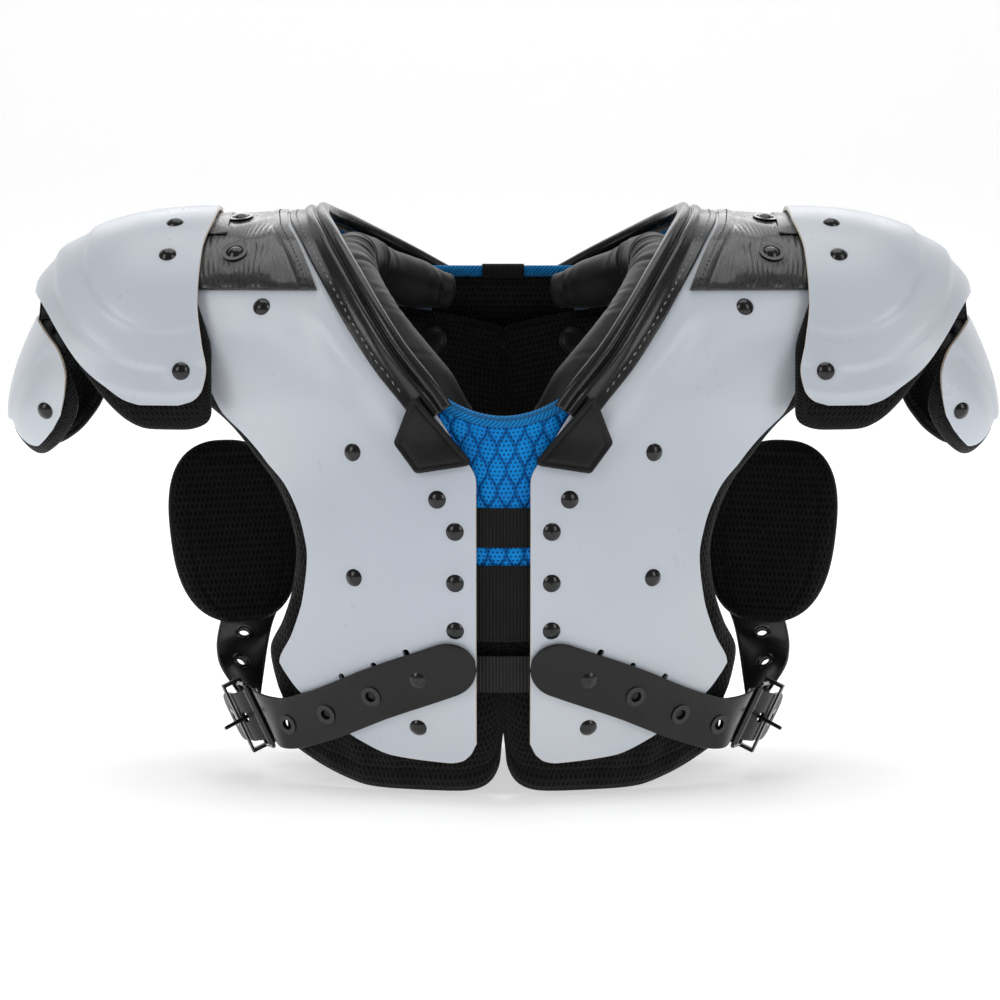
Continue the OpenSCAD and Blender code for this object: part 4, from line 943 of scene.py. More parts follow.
ER = [[-41, 206], [-23, 204], [23, 204], [41, 206], [-82, 195], [82, 195]]
for f, x in ER:
    c = cap3(rad_(f), tau_x(x)); rel *= 1 - np.exp(-(np.linalg.norm(Pc - c, axis=-1) / 10) ** 4)
rel += 0.22 * noise3(Pc, 70, 41)
cup_o = capO(phi, tau, rel); cup_i = capO(phi, tau, -3.0 + np.minimum(rel, 0))
put_slab("shell_cup", cup_o, cup_i, "shell", "{s}_epaulet", ["epaulet_cup_{s}"],
         attrs={"shade": np.clip(0.3 + 0.4 * noise3(Pc, 90, 43), 0, 1) * 0.2}, rimattr=True)

PAD_I = [[0, 199], [20, 199], [35, 197], [50, 192], [70, 180], [84, 173], [91, 173], [96, 179], [98.5, 190]]
PAD_O = [[0, 290], [20, 289], [40, 285], [60, 276], [75, 264], [84, 252], [91, 241], [96, 230], [98.5, 220]]
pm, pn = ((120, 50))
ph = sym(pm, 98.5)[:, None]; t = fine(pn, 0.3)[None]
a, b = tau_x(smooth_lookup(PAD_I, np.abs(ph))), tau_x(smooth_lookup(PAD_O, np.abs(ph)))
tau = a + (b - a) * t; phi = rad_(ph * PP) + 0 * tau
dE, _ = edge_dist(cap3(phi, tau))
pf = crown(dE, 12)
bump = 0.45 * noise3(cap3(phi, tau), 24, 51) * pf
pad_o = capO(phi, tau, -8.4 + 2.2 * pf + np.minimum(bump, 0)); pad_i = capO(phi, tau, -10.6 - 3.4 * pf + bump)
put_slab("cup_pad", pad_o, pad_i, "mesh", "{s}_epaulet", ["epaulet_pad_{s}"])
binding("cup_pad_tape", pad_o, pad_i, "bind", "{s}_epaulet", inset=3.0, a=4.6, b=2.9, corner=6)

# tab between the strap and the cup
ni, nj = 60, 50
ti = np.linspace(-1, 1, ni)[:, None]; tj_ = np.linspace(0, 1, nj)[None]
yw = 47 * ti
tabx = 171 + (222 - 171) * tj_ + 0 * yw
fang = rad_(27 * ti) + 0 * tabx
A1 = capO(fang, tau_x(np.maximum(tabx, 184.0)), -3.9 + 0 * tabx)
uq = np.interp(yw[:, 0], S(np.linspace(7.2, 11.8, 200), 172.0)[:, 1], np.linspace(7.2, 11.8, 200))[:, None] + 0 * tabx
A2 = SO(uq, np.minimum(tabx, 182.0), 6.9 + 0 * tabx)
w = sstep(173, 190, tabx)[..., None]
A1[..., 0] = np.where(tabx < 184, tabx, A1[..., 0]); A2[..., 0] = tabx
top = A2 * (1 - w) + A1 * w
du_ = np.gradient(top, axis=0); dv_ = np.gradient(top, axis=1)
nn = unit(np.cross(dv_, du_)); nn *= np.sign(nn[..., 2:3])
low = top - 1.3 * nn
v, f, uvs, tag, per = slab(top, low, 2)
f = outward(v, f)
for side, mir in SIDES:
    ob = make(f"epaulet_hinge_strap_{side}", v, f, uvs, M["strap"], None, mirror=mir)
    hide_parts(f"epaulet_tab_{side}")
    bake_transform(ob)

# ================================================================== deltoid cap
DO, DL, DRB, DRY = (246.7, 278), 100, 46, 85
def del3(phi, tau):
    e = np.cos(tau) ** 0.8; a = DL * np.sin(tau) ** 0.8; b = DRB * e * np.cos(phi)
    return np.stack(np.broadcast_arrays(DO[0] + 0.5 * a + 0.866 * b, DRY * e * np.sin(phi), DO[1] - 0.866 * a + 0.5 * b), -1)
def delN(phi, tau):
    return unit(np.cross(del3(phi, tau + 0.006) - del3(phi, np.maximum(tau - 0.006, 1e-4)), del3(phi + 0.008, tau) - del3(phi - 0.008, tau)))
def delO(phi, tau, o):
    return del3(phi, tau) + np.asarray(o, float)[..., None] * delN(phi, tau)
tau_a = lambda a: np.arcsin((np.asarray(a, float) / DL) ** 1.25)
DEL_I = [[0, 18], [30, 18], [60, 21], [80, 31], [90, 46], [95, 58]]
DEL_O = [[0, 80], [40, 82], [75, 86], [88, 84], [93, 76], [95, 68]]
dm, dn_ = ((170, 80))
ph = sym(dm, 95)[:, None]; t = fine(dn_, 0.4)[None]
a, b = tau_a(smooth_lookup(DEL_I, np.abs(ph))), tau_a(smooth_lookup(DEL_O, np.abs(ph)))
tau = a + (b - a) * t; phi = rad_(ph) + 0 * tau
Pd = del3(phi, tau)
aa = DL * np.sin(tau) ** 0.8
w_ = 30 + 26 * (1 - sstep(15, 80, aa))
rel = -1.5 * sstep(0.0, 7.0, np.abs(np.degrees(phi)) - w_) * (1 - sstep(7, 34, np.abs(np.degrees(phi)) - w_)) * sstep(20, 34, aa)
for f in (-81, 81):
    c = del3(rad_(f), tau_a(60)); rel *= 1 - np.exp(-(np.linalg.norm(Pd - c, axis=-1) / 10) ** 4)
rel += 0.2 * noise3(Pd, 60, 61)
put_slab("shell_deltoid", delO(phi, tau, rel), delO(phi, tau, -3.0 + np.minimum(rel, 0) * 0.4), "shell", "{s}_deltoid", ["deltoid_cap_{s}"],
         attrs={"shade": np.clip(0.35 + 0.4 * noise3(Pd, 80, 63), 0, 1) * 0.25}, rimattr=True)
DPI = [[0, 21], [30, 21], [60, 24], [75, 31], [85, 36], [95, 42], [106, 50], [110, 60]]
DPO = [[0, 90], [40, 92], [75, 95], [90, 95], [100, 92], [106, 86], [110, 78]]
ph = sym(pm, 110)[:, None]; t = fine(pn, 0.3)[None]
a, b = tau_a(smooth_lookup(DPI, np.abs(ph))), tau_a(smooth_lookup(DPO, np.abs(ph)))
tau = a + (b - a) * t; phi = rad_(ph) + 0 * tau
dE, _ = edge_dist(del3(phi, tau))
pf = crown(dE, 13)
nz = noise3(del3(phi, tau), 22, 71)
dp_o = delO(phi, tau, -5.6 + 1.9 * pf + np.minimum(0.5 * nz, 0) * pf); dp_i = delO(phi, tau, -8.2 - 5.6 * pf + 0.8 * nz * pf)
put_slab("deltoid_cushion", dp_o, dp_i, "mesh", "{s}_deltoid", ["deltoid_pad_{s}"])
binding("deltoid_tape", dp_o, dp_i, "bind", "{s}_deltoid", inset=3.0, a=4.6, b=3.2, corner=6)
# web that hangs the deltoid cap
ti = np.linspace(-24, 24, 40)[:, None]; tq = np.linspace(0, 1, 30)[None]
tau = tau_a(24) + (tau_a(44) - tau_a(24)) * tq + 0 * ti; phi = rad_(ti) + 0 * tau
put_slab("deltoid_webbing", delO(phi, tau, -14.5 + 0 * tau), delO(phi, tau, -16.3 + 0 * tau), "web", "{s}_deltoid", ["deltoid_web_{s}"])
# elastic strap from under the cup to behind the deltoid cap, bending across the joint
ys = np.linspace(-30, 30, 31)
def cup_row(x, o):
    ta = tau_x(x) + 0 * ys; return capO(np.arcsin(ys / (CRY * np.cos(ta) ** 0.6)), ta, o + 0 * ys)
def del_row(a_, o):
    ta = tau_a(a_) + 0 * ys; return delO(np.arcsin(ys / (DRY * np.cos(ta) ** 0.8)), ta, o + 0 * ys)
HK = np.stack([cup_row(280.0, -3.4), cup_row(286.0, -3.4), cup_row(292.0, -3.6), del_row(24.0, -3.8), del_row(31.0, -3.6), del_row(40.0, -3.5)])
HG = cat(HK.reshape(6, -1), np.linspace(0, 5, 41)).reshape(41, len(ys), 3)
hn = unit(np.cross(np.gradient(HG, axis=0), np.gradient(HG, axis=1)))
hn *= np.sign(hn[..., 0:1] + hn[..., 2:3])
v, f, uvs, tag, per = slab(HG, HG - 1.3 * hn, 2); f = outward(v, f)
mid_ = len(ys) // 2
for side, mir in SIDES:
    ob = make(f"deltoid_hanger_{side}", v, f, uvs, M["web"], None, mirror=mir)
    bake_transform(ob)

# ================================================================== liners
LO, LT = 5.6, 13.0
LXI = [[0, 6], [0.9, 3.2], [1.5, 1], [4.8, 1], [5, 24], [5.35, 46], [5.85, 64], [6.5, 86], [7.3, 108]]
LXIB = [[12, 0.8], [17.5, 0.8], [18.1, 3.2], [19, 6]]
FOOTV = [[1, 10], [4, 2], [9, -3.4], [16, -6.2], [26, -7.4], [40, -7.6], [74, -7.6], [90, -6.8], [104, -3], [120, 3.5], [142, 16]]
def liner(name, node, Ug, Xg, quilt=None, R=11):
    mid = SO(Ug, Xg, -(LO + LT / 2) + 0 * Ug)
    dE, sides = edge_dist(mid)
    f = crown(dE, R)
    nz = noise3(mid, 26, abs(hash(name)) % 97 if False else sum(map(ord, name)) % 97)
    half_o = 1.6 + (LT / 2 - 1.6) * f
    go = -(LO + LT / 2) + half_o - 0.9 * f + 0.8 * nz * f
    gi = -(LO + LT / 2) - half_o + 0.6 * f + 0.8 * nz * f
    if quilt is not None:
        q = quilt(mid, dE, sides)
        go = go - q; gi = gi + 0.6 * q
    o, i = SO(Ug, Xg, go), SO(Ug, Xg, gi)
    for g in (o, i):
        g[..., 2] = np.maximum(g[..., 2], -7.9)
    return o, i
qm, qn = ((150, 76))
tn = fine(qn, 0.35)[None]; tm = fine(qm, 0.2)[:, None]
xb = 1 + 141 * tn
ua = ufront(xb, smooth_lookup(FOOTV, xb))
Ug = ua + (7.25 - ua) * tm; Xg = smooth_lookup(LXI, Ug) * (1 - tn) + (xo(Ug) + 8 + 6 * tn) * tn
def front_quilt(mid, dE, sides):
    A0, A1, B0, B1 = sides
    q = 1.6 * np.exp(-((B1 - 17) / 1.7) ** 2) * sstep(0, 14, A0)
    q += 1.3 * np.exp(-((A0 - 14) / 1.7) ** 2) * sstep(10, 24, B1)
    return q
fo, fi = liner("front", "front_liner", Ug, Xg, front_quilt)
put_slab("chest_cushion", fo, fi, "mesh", "root", ["front_liner_{s}"])
binding("chest_tape", fo, fi, "bind", "root", inset=2.4, a=4.2, b=3.2, corner=5)
xb = 1 + 141 * tn
ub = uback(xb, smooth_lookup(FOOTV, xb)); ua = smooth_lookup([[0, 12.35], [0.3, 12], [0.6, 11.75], [1, 11.75]], tn)
Ug = ua + (ub - ua) * tm; Xg = smooth_lookup(LXIB, np.maximum(Ug, 12)) * (1 - tn) + (xo(Ug) + 8 + 6 * tn) * tn
def back_quilt(mid, dE, sides):
    A0, A1, B0, B1 = sides
    q = 1.5 * np.exp(-((B1 - 17) / 1.7) ** 2) * sstep(0, 14, A1) + 1.3 * np.exp(-((A1 - 14) / 1.7) ** 2) * sstep(10, 24, B1)
    q += 1.6 * np.exp(-((mid[..., 2] - 262 + 0.5 * mid[..., 0]) / 1.8) ** 2)
    return q
bo, bi = liner("back", "back_liner", Ug, Xg, back_quilt)
put_slab("back_cushion", bo, bi, "mesh", "root", ["back_liner_{s}"])
binding("back_tape", bo, bi, "bind", "root", inset=2.4, a=4.2, b=3.2, corner=5)
Ug = 7.4 + 4.2 * fine(70, 0.2)[:, None] + 0 * fine(40, 0.2)[None]
x0 = smooth_lookup([[7.4, 112], [8.1, 121], [9, 127], [10, 126], [10.5, 118], [11.2, 106], [11.6, 100]], Ug)
Xg = x0 + (196 - x0) * fine(40, 0.2)[None]
so_, si_ = liner("shoulder", "shoulder_liner", Ug, Xg)
put_slab("shoulder_cushion", so_, si_, "mesh", "root", ["shoulder_liner_{s}"])
binding("shoulder_tape", so_, si_, "bind", "root", inset=2.4, a=4.0, b=3.0, corner=5)

# ================================================================== chest bib and webbing
def bibtop(x):
    return 224 + 18 * x * x / 2116
bm, bn = ((180, 140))
tx = np.linspace(-46, 46, bn)[None]; tz = np.linspace(0, 1, bm)[:, None]
Zb = 122 + (bibtop(tx) - 122) * tz; Xb = tx + 0 * Zb
pq, Hq = 11.4, 12.6
def scale_dist(x, z):
    d = np.full(x.shape, 99.0); d2 = d.copy()
    for k in range(-9, 10):
        line = k * pq / 2 + (-1) ** k * (pq / 4) * np.cos(np.pi * z / Hq)
        slope = (pq / 4) * np.pi / Hq * np.abs(np.sin(np.pi * z / Hq))
        d = np.minimum(d, np.abs(x - line) / np.sqrt(1 + slope ** 2))
    return d
dq = scale_dist(Xb + 1.0, Zb - 224)
hq = -1.25 * np.exp(-(dq / 0.85) ** 2) + 0.7 * (1 - np.exp(-(dq / 2.6) ** 2))
bib_o = SO(ufront(Xb, Zb), Xb, -3.2 + hq); bib_i = SO(ufront(Xb, Zb), Xb, -5.4 + 0 * Xb)
v, f, uvs, tag, per = slab(bib_o, bib_i, 2)
f = outward(v, f)
# seam mask for the painted shade along the quilting grooves
sa = np.exp(-(dq / 0.7) ** 2); sa_all = np.concatenate([sa.ravel(), 0 * sa.ravel(), np.zeros(len(v) - 2 * sa.size)])
ob = make("chest_bib_mesh", v, f, uvs, M["blue"], "root", ["chest_bib"], attrs={"seam": sa_all})
# ribbed binding along the top, its ends running up inside the collar
uc = np.linspace(5.78, 6.5, 14); pe, be, ne = edge_frame(uc)
endp = pe + be * (-6.5) + ne * (-2.6)
xs = np.linspace(-42, 42, 61); z = bibtop(xs) + 3.4
mid_ = SO(ufront(xs, z), xs, -3.4 + 0 * xs)
endl = endp * np.array([-1, 1, 1])
path = np.concatenate([endl[::-1], mid_, endp]); path = smooth_path(resample(path, 1.6), 8)
path = resample(path, 1.2)
ref = np.stack([0 * path[:, 0], -np.ones(len(path)), 0.35 + 0 * path[:, 0]], 1)
th = np.linspace(0, 2 * np.pi, 18, endpoint=False)
secb = np.stack([2.3 * np.cos(th), 3.7 * np.sign(np.sin(th)) * np.abs(np.sin(th)) ** 0.8], 1)
rib = 1 + 0.05 * np.sin(np.arange(len(path)) * 1.2 / 2.1 * 2 * np.pi)
v, f, uvs = sweep(path, ref, secb, False, True)
make("chest_bib_binding", v, f, uvs, M["bindblue"], "root", ["bib_binding"])

def band_grid(w, z0, z1, n, m, back, o):
    X = np.linspace(-w, w, n)[None] + 0 * np.linspace(0, 1, m)[:, None]; Z = np.linspace(z1, z0, m)[:, None] + 0 * X
    return SO(ufb(X, Z, back), X, o + 0 * X)
def centre_band(name, w, z0, z1, back, mat, node, wob=0.25):
    n, m = 90, 40
    g = band_grid(w, z0, z1, n, m, back, 0.0)
    nz = noise3(g, 30, sum(map(ord, name)) % 89) * wob
    X = np.linspace(-w, w, n)[None] + 0 * np.linspace(0, 1, m)[:, None]; Z = np.linspace(z1, z0, m)[:, None] + 0 * X
    rib = 0.0
    o = SO(ufb(X, Z, back), X, -0.75 + np.minimum(nz, 0.1)); i = SO(ufb(X, Z, back), X, -2.3 + np.minimum(nz, 0.1))
    v, f, uvs, tag, per = slab(o, i, 2)
    f = outward(v, f)
    uvs = uvs[:, ::-1]
    return make(name, v, f, uvs, M[mat], "root", [node])
centre_band("chest_webbing_upper", 36, 152, 176, False, "web", "chest_strap_upper")
centre_band("chest_webbing_middle", 36, 94, 141, False, "web", "chest_strap_middle")
centre_band("chest_webbing_lower", 24, 62, 85, False, "webgrey", "chest_strap_lower")
centre_band("back_webbing_upper", 36, 200, 235, True, "web", "back_strap_upper")
centre_band("back_webbing_lower", 36, 90, 125, True, "web", "back_strap_lower")
# nape bridge: padded blue web with black webbing at its middle
Z = np.linspace(313, 292, 40)[:, None]; X = np.linspace(-1, 1, 90)[None] * (56 + (36 - 56) * (313 - Z) / 21)
Z = Z + 0 * X
u_ = uback(X, Z)
v, f, uvs, tag, per = slab(SO(u_, X, -0.7 + 0 * X), SO(u_, X, -2.4 + 0 * X), 2); f = outward(v, f)
make("nape_web", v, f, uvs[:, ::-1], M["web"], "root", ["nape_bridge"])
# dark mesh panel below the bridge, behind the two rear halves
Xp = np.linspace(-48, 48, 61)[None] + 0 * np.linspace(262, 308, 31)[:, None]; Zp = np.linspace(262, 308, 31)[:, None] + 0 * Xp
up_ = uback(Xp, Zp)
v, f, uvs, tag, per = slab(SO(up_, Xp, -3.2 + 0 * Xp), SO(up_, Xp, -4.6 + 0 * Xp), 2); f = outward(v, f)
make("nape_panel", v, f, uvs, M["mesh"], "root", ())
xs = np.linspace(-50, 50, 90); zz = np.full_like(xs, 311.5)
pn_ = SO(uback(xs, zz), xs, -3.6 + 0 * xs)
refn = SN(uback(xs, zz), xs)
v, f, uvs = sweep(pn_, refn, np.stack([2.6 * np.cos(th), 4.2 * np.sin(th)], 1), False, True)
make("nape_binding", v, f, uvs, M["bindblue"], "root", ())
xs = np.linspace(-14, 14, 30); zz = np.full_like(xs, 311.5)
pn_ = SO(uback(xs, zz), xs, -3.6 + 0 * xs); refn = SN(uback(xs, zz), xs)
v, f, uvs = sweep(pn_, refn, np.stack([3.5 * np.cos(th), 5.4 * np.sin(th)], 1), False, True)
make("nape_loop", v, f, uvs, M["web"], "root", ())

# ================================================================== buckle frame of reference
HEEL = np.array([160.5, -12, 30.0]); BT, BY = rad_(24.8), rad_(-16)
BN = np.array([math.cos(BT) * math.cos(BY), math.sin(BY), -math.sin(BT) * math.cos(BY)])
BB = np.array([-math.cos(BT) * math.sin(BY), math.cos(BY), math.sin(BT) * math.sin(BY)])
BW = np.array([math.sin(BT), 0, math.cos(BT)])
def bk(n, b, w=0.0):
    return HEEL + n * BN + b * BB + w * BW
def station(x, z, dx, dz, back, o):
    u = float(ufb(x, z, back)); p = SO(u, x, o); n = SN(u, x)
    v = float(ufb(x + dx, z + dz, back)); t = unit(SO(v, x + dx, o) - p)
    return np.concatenate([p, unit(np.cross(n, t))])
FB_X = [[0, 16.5], [19, 34], [36, 50], [51, 64], [66.5, 78], [82, 92], [97.5, 105.6], [111, 118], [125, 131]]
FB_Z = [[0, 85], [19, 77.8], [36, 71.5], [51, 66], [66.5, 60], [82, 53], [97.5, 46], [111, 40.5], [125, 35.5]]
lk = lambda T, s: float(np.interp(s, [r[0] for r in T], [r[1] for r in T]))
fbs = lambda s: station(float(smooth_lookup(FB_X, s)), float(smooth_lookup(FB_Z, s)), 9, -4.2, False, 5.6)
C6 = lambda p, w: np.concatenate([p, w])
FB_KEYS = np.array([fbs(106), fbs(122), C6([141.5, -66.5, 34], unit(np.array([0.33, 0.05, 0.94]))), C6(bk(-1.6, -40), BW), C6(bk(-4.4, -25.5), BW),
                    C6(bk(-1.5, -14), BW), C6(bk(3, -5.5), BW), C6(bk(5.2, 1), BW), C6(bk(5.6, 9), BW), C6(bk(6.2, 20), BW), C6(bk(8, 32), BW)])
FBD = np.concatenate([[fbs(s) for s in np.arange(0.4, 106, 1.4)], [cat(FB_KEYS, q) for q in np.arange(0.0, 10.001, 0.07)]])
def clean(K, step=1.6):
    P = K[:, :3]; d = np.concatenate([[0], np.cumsum(np.linalg.norm(np.diff(P, axis=0), axis=1))])
    n = int(d[-1] / step); s = np.linspace(0, d[-1], n + 1)
    return np.stack([np.interp(s, d, K[:, c]) for c in range(6)], 1), s
def band(K, hw, th, e=0.55):
    """flat belt with rounded edges along keys (point, width direction)"""
    P = K[:, :3]; T = unit(np.gradient(P, axis=0)); W = K[:, 3:]; W = unit(W - (W * T).sum(1, keepdims=True) * T); N = np.cross(W, T)
    for q in range(3):
        W[1:-1] = unit(0.5 * W[1:-1] + 0.25 * (W[2:] + W[:-2]))
    sec = []
    t = th / 2
    for a, bb in ((-1, -t * .2), (-1 + 0, 0)):
        pass
    ss = [(-1.0, -0.35), (-1.0, 0.35), (-0.985, 0.8), (-0.955, 1.0), (-0.925, 1.0), (-0.905, 0.86), (-0.88, 0.96), (-0.5, 1.0), (0, 1.0), (0.5, 1.0),
          (0.88, 0.96), (0.905, 0.86), (0.925, 1.0), (0.955, 1.0), (0.985, 0.8), (1.0, 0.35), (1.0, -0.35), (0.985, -0.8), (0.95, -1.0), (0.5, -1), (0, -1), (-0.5, -1), (-0.95, -1.0), (-0.985, -0.8)]
    sec = np.array(ss); k = len(sec)
    V = P[:, None] + sec[None, :, 0, None] * hw[:, None, None] * W[:, None] + sec[None, :, 1, None] * t * N[:, None]
    F = [(i * k + j, i * k + (j + 1) % k, (i + 1) * k + (j + 1) % k, (i + 1) * k + j) for i in range(len(P) - 1) for j in range(k)]
    F += [tuple(range(k - 1, -1, -1)), tuple((len(P) - 1) * k + j for j in range(k))]
    d = np.concatenate([[0], np.cumsum(np.linalg.norm(np.diff(P, axis=0), axis=1))])
    uv = np.stack(np.broadcast_arrays(sec[None, :, 0] * 17, d[:, None]), -1).reshape(-1, 2) * MM
    V = V.reshape(-1, 3)
    return V, outward(V, F), uv, N
K, s = clean(FBD)
L = s[-1]
hw = 17 * np.where(s < 19, np.sqrt(np.clip(1 - ((19 - s) / 19) ** 2, 0.004, 1)), 1.0)
hw = np.where(L - s < 7, 17 * (0.62 + 0.38 * np.sqrt(np.clip(1 - (1 - (L - s) / 7) ** 2, 0, 1))), hw)
V, F, uvb, NB = band(K, hw, 2.2)
PRONG_D = rad_(-17)
EYES = []
for q in (66.5, 97.5, 124):
    x, z = lk(FB_X, q), lk(FB_Z, q); u = float(ufront(x, z)); EYES.append((SO(u, x, 5.6), SN(u, x)))
EYES += [(bk(5, -1.5), math.cos(PRONG_D) * BN + math.sin(PRONG_D) * BB), (bk(6.4, 24), BN)]
belts = put("belt_front", V, F, uvb, "belt", "root", ["front_belt_{s}"])
holes = [(p, n, 3.75, 6, (0, 0, 1), 0) for p, n in EYES]
for ob, (side, mir) in zip(belts, SIDES):
    cut(ob, holes, mir)
RB_KEYS = np.array([C6(bk(0, 4.2), BW), C6(bk(-0.4, 12, 1.2), BW), [166.5, 10, 35, 0.5, -0.1, 0.86], [170, 24, 43.5, 0.66, -0.15, 0.73], [172, 39, 54, 0.84, -0.15, 0.5],
                    [172, 56, 67, 0.94, -0.05, 0.25], [169, 74, 82, 0.96, 0.1, 0.15], [161, 87, 99, 0.9, 0.2, 0.3], [149, 94, 115, 0.75, 0.1, 0.6], [135.5, 95.5, 128, 0.6, -0.1, 0.78],
                    station(118, 141, -12, 8, True, 5.8), station(100, 152, -12, 8, True, 5.6), station(84, 161, -12, 7, True, 5.6), station(77, 164.5, -12, 7, True, 5.6)])
K, s = clean(cat(RB_KEYS, np.arange(0, 13.0001, 0.05)))
L = s[-1]; hw = 17 * np.where(L - s < 12, np.sqrt(np.clip(1 - (1 - (L - s) / 12) ** 2, 0.02, 1)), 1.0)
V, F, uvb, NB = band(K, hw, 2.2)
belts = put("belt_rear", V, F, uvb, "belt", "root", ["rear_belt_{s}"])
holes = []
for q in (4.1, 5.3, 6.4):
    a, b = cat(RB_KEYS, np.array(q)), cat(RB_KEYS, np.array(q + 0.1)); n = unit(np.cross(a[3:], b[:3] - a[:3])); holes.append((a[:3], n, 3.75, 5, (0, 0, 1), 0))
for ob, (side, mir) in zip(belts, SIDES):
    cut(ob, holes, mir)
# folded ears of the rear belt round the heel bar
for e, w0 in enumerate((-12, 12)):
    pro = [(1.6, -6), (3.0, -6), (3.3, -5.6), (3.3, 5.6), (3.0, 6), (1.6, 6)]
    k = 28; V = []
    for r, w in pro:
        for t in np.linspace(0, 2 * np.pi, k, endpoint=False):
            V.append(bk(r * math.cos(t), r * math.sin(t), w0 + w))
    m = len(pro); F = [(i * k + j, i * k + (j + 1) % k, ((i + 1) % m) * k + (j + 1) % k, ((i + 1) % m) * k + j) for i in range(m) for j in range(k)]
    V = np.array(V)
    if signed_volume(V, F) < 0: F = [tuple(reversed(q)) for q in F]
    put(f"belt_ear_{e + 1}", V, F, np.zeros((len(V), 2)) + V[:, [2, 0]] * MM, "belt", "root", ())
# discs that close the first two eyelets, and rings of the rear belt
def disc(c, n, prof, k=32):
    a = unit(np.cross(n, [0.3, 0.9, 0.2])); b = np.cross(n, a); V = [c + n * prof[0][1]]
    for r, h in prof[1:]:
        for t in np.linspace(0, 2 * np.pi, k, endpoint=False):
            V.append(c + a * r * math.cos(t) + b * r * math.sin(t) + n * h)
    F = [(0, 1 + j, 1 + (j + 1) % k) for j in range(k)]
    m = len(prof) - 1
    for i in range(m - 1):
        F += [(1 + i * k + j, 1 + (i + 1) * k + j, 1 + (i + 1) * k + (j + 1) % k, 1 + i * k + (j + 1) % k) for j in range(k)]
    F.append(tuple(1 + (m - 1) * k + j for j in range(k)))
    V = np.array(V)
    return V, outward(V, F)
def ring(c, n, ro, ri, h, k=36):
    prof = [(ri, 0.0), (ri, h * 0.6), (ri + (ro - ri) * 0.25, h), (ri + (ro - ri) * 0.7, h), (ro, h * 0.35), (ro, 0.0)]
    a = unit(np.cross(n, [0.3, 0.9, 0.2])); b = np.cross(n, a); V = []
    for r, q in prof:
        for t in np.linspace(0, 2 * np.pi, k, endpoint=False):
            V.append(c + a * r * math.cos(t) + b * r * math.sin(t) + n * q)
    m = len(prof); F = [(i * k + j, i * k + (j + 1) % k, ((i + 1) % m) * k + (j + 1) % k, ((i + 1) % m) * k + j) for i in range(m) for j in range(k)]
    V = np.array(V)
    if signed_volume(V, F) < 0: F = [tuple(reversed(q)) for q in F]
    return V, F
for q, (c, n) in enumerate(EYES[:2]):
    V, F = disc(c, n, [(0, 0.25), (1.5, 0.28), (3.0, 0.12), (3.5, -0.3), (3.5, -1.0)])
    put(f"eyelet_plug_{q + 1}", V, F, V[:, [0, 2]] * MM, "belt", "root", ())
for q, (c, n, *_r) in enumerate(holes):
    V, F = ring(c + n * 1.05, n, 6.2, 3.4, 0.9)
    put(f"rear_eyelet_{q + 1}", V, F, V[:, [0, 2]] * MM, "wire", "root", ())
    V, F = ring(c - n * 1.05, -n, 6.2, 3.4, 0.9)
    put(f"rear_eyelet_back_{q + 1}", V, F, V[:, [0, 2]] * MM, "wire", "root", ())

# bent wire frame of the buckle
def rounded_rect(y0, y1, z1, r, k=8):
    P = []
    for cy, cz, a0_ in ((y1 - r, z1 - r, 0), (y0 + r, z1 - r, 90), (y0 + r, -z1 + r, 180), (y1 - r, -z1 + r, 270)):
        for a in np.linspace(a0_, a0_ + 90, k):
            P.append((cy + r * math.cos(math.radians(a)), cz + r * math.sin(math.radians(a))))
    return P
loop = np.array([bk(0.0, y, z) for y, z in rounded_rect(-25, 0, 22, 3.2)])
loop = resample(loop, 1.2, True)
v, f, uvs = sweep(loop, np.tile(BN, (len(loop), 1)), ellipse(1.4, 1.4, 14), True, False)
put("buckle_wire", v, f, uvs, "wire", "{s}_buckle", ["buckle_frame_{s}"])

# snaps on the back liner, each a domed cap with a ring
u = float(uback(50, 268)); n = SN(u, 50); c = SO(u, 50, -LO - LT - 0.6)
V, F = disc(c, -n, [(0, 2.6), (3.0, 2.55), (6.0, 2.2), (8.2, 1.3), (8.6, 0.9), (9.4, 0.9), (9.9, 0.4), (10.0, -0.6)])
put("liner_snap", V, F, V[:, [0, 2]] * MM, "badge", "root", ())
for side, mir in SIDES[:1]:
    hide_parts("liner_snaps")

# ================================================================== side pads
sm, sn_ = ((100, 80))
vv = (np.sin(np.linspace(-1, 1, sm) * np.pi / 2 * 0.97) / math.sin(np.pi / 2 * 0.97))[:, None]; tw = (fine(sn_, 0.3) * 2 - 1)[None]
zz = 140 + 59 * vv + 0 * tw
w = np.maximum(38 * np.clip(1 - np.abs(vv) ** 2.6, 0, 1) ** (1 / 2.6), 9)
xx = 177 + 0.1 * (zz - 140) + w * tw
yy = 73 - 0.46 * (xx - 132)
mid = np.stack([xx, yy, zz], -1); nrm = np.array([0.41, 0.91, 0.0])
dE = np.minimum(w * (1 - np.abs(tw)), 59 * (1 - np.abs(vv)) + 0 * tw)
pf = crown(dE, 15, 2.2)
nz = noise3(mid, 26, 83)
hx = 2.2 + 4.6 * pf - 1.1 * np.exp(-((dE - 9.5) / 1.5) ** 2) + 0.5 * nz * pf
sp_o = mid - nrm * hx[..., None]; sp_i = mid + nrm * (2.2 + 4.0 * pf)[..., None]
put_slab("side_cushion", sp_o, sp_i, "mesh", "{s}_side_pad", ["side_pad_{s}"])
binding("side_tape", sp_o, sp_i, "bind", "{s}_side_pad", inset=3.2, a=5.0, b=3.4, corner=10)

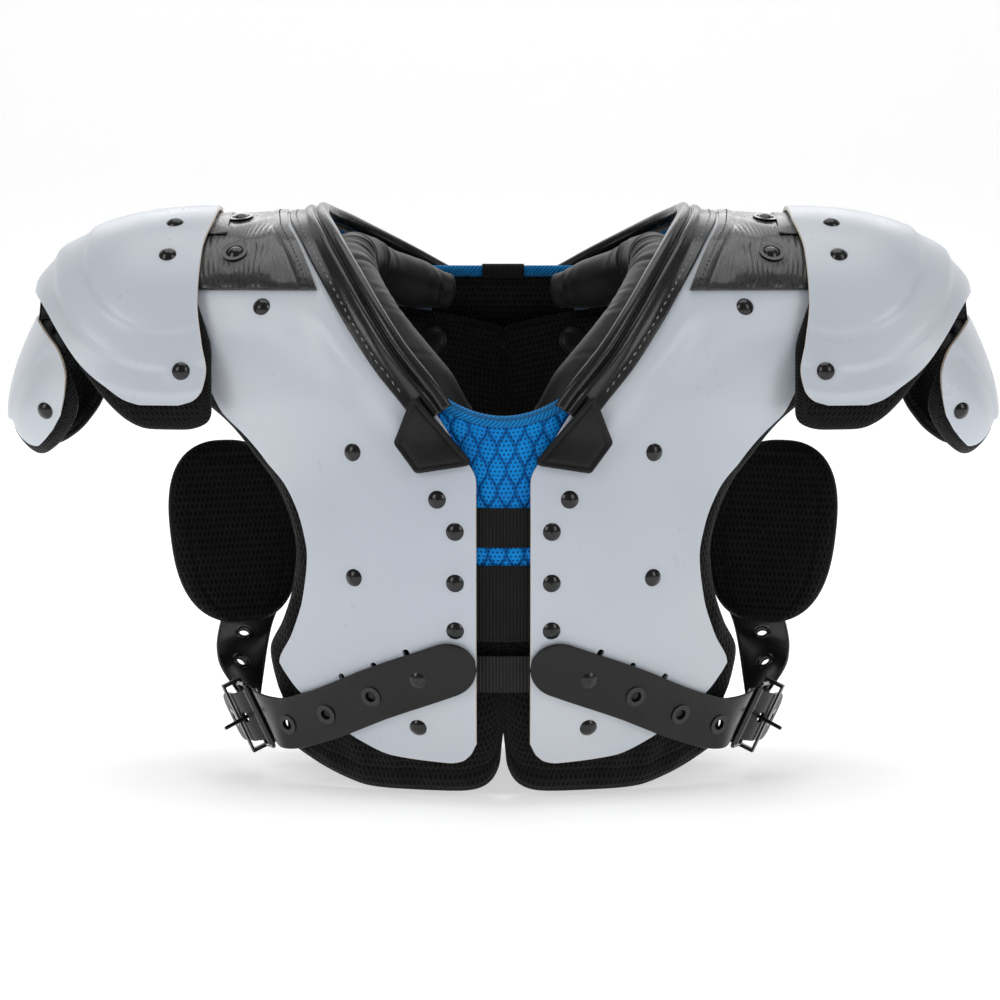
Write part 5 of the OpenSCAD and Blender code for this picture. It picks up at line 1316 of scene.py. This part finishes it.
# ================================================================== carried-over CAD pieces
def cad(names, mat, slotname=None, bevel=None):
    for n in names:
        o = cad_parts[n]
        o.data.materials.clear(); o.data.materials.append(M[mat])
        o.data.polygons.foreach_set("material_index", [0] * len(o.data.polygons))
        if bevel:
            m = o.modifiers.new("bevel", "BEVEL"); m.width = bevel; m.segments = 3; m.limit_method = "ANGLE"
cad(["arch_rivets", "strap_rivets", "belt_rivets", "epaulet_rivets_left", "epaulet_rivets_right", "deltoid_rivets_left", "deltoid_rivets_right"], "rivet")
cad(["belt_eyelets", "buckle_roller_left", "buckle_roller_right", "buckle_prong_left", "buckle_prong_right"], "wire")
cad(["belt_keepers"], "belt", bevel=0.0007)

# ================================================================== stage, light
def stage_mesh():
    P = []; n = 24
    prof = [(-3.0, 0.0), (2.2, 0.0)] + [(2.2 + 1.2 * math.sin(a), 1.2 - 1.2 * math.cos(a)) for a in np.linspace(0, math.pi / 2, 14)[1:]] + [(3.4, 6.0)]
    V, F = [], []
    for y, z in prof:
        for x in (-6.0, 6.0):
            V.append((x, y, z))
    for i in range(len(prof) - 1):
        F.append((2 * i, 2 * i + 1, 2 * i + 3, 2 * i + 2))
    me = bpy.data.meshes.new("backdrop"); me.from_pydata(V, [], F); me.polygons.foreach_set("use_smooth", [True] * len(F))
    ob = bpy.data.objects.new("backdrop", me); scene.collection.objects.link(ob)
    m, nt, b = new_mat("paper"); g = G(nt)
    nse = g.noise(g.obj(), 3.0, 2, 0.5)
    g.link(g.mix(nse, (0.93, 0.93, 0.935), (0.95, 0.95, 0.95)), b.inputs["Base Color"])
    setp(b, Roughness=0.9, Emission_Strength=0.42); b.inputs["Specular IOR Level"].default_value = 0.0
    b.inputs["Emission Color"].default_value = (1.0, 1.0, 1.0, 1.0)
    me.materials.append(m)
stage_mesh()
def area(name, loc, target, size, power, color=(1, 1, 1)):
    L = bpy.data.lights.new(name, "AREA"); L.shape = "RECTANGLE"; L.size, L.size_y = size; L.energy = power; L.color = color
    o = bpy.data.objects.new(name, L); scene.collection.objects.link(o); o.location = loc
    o.rotation_euler = (Vector(target) - Vector(loc)).to_track_quat("-Z", "Y").to_euler(); return o
area("key_left", (-1.9, -1.7, 1.5), (0, 0, 0.2), (1.0, 1.6), 17.5)
area("key_right", (1.9, -1.6, 1.4), (0, 0, 0.2), (1.0, 1.6), 14.5)
area("top", (0, 0.2, 2.4), (0, 0, 0.2), (2.2, 1.6), 21)
area("back", (0, 2.2, 1.7), (0, 0, 0.3), (2.4, 1.0), 11)
w = bpy.data.worlds.new("world"); scene.world = w; w.use_nodes = True
w.node_tree.nodes["Background"].inputs[0].default_value = (1, 1, 1, 1); w.node_tree.nodes["Background"].inputs[1].default_value = 0.24
scene.view_settings.view_transform = "Standard"
scene.view_settings.look = "None"
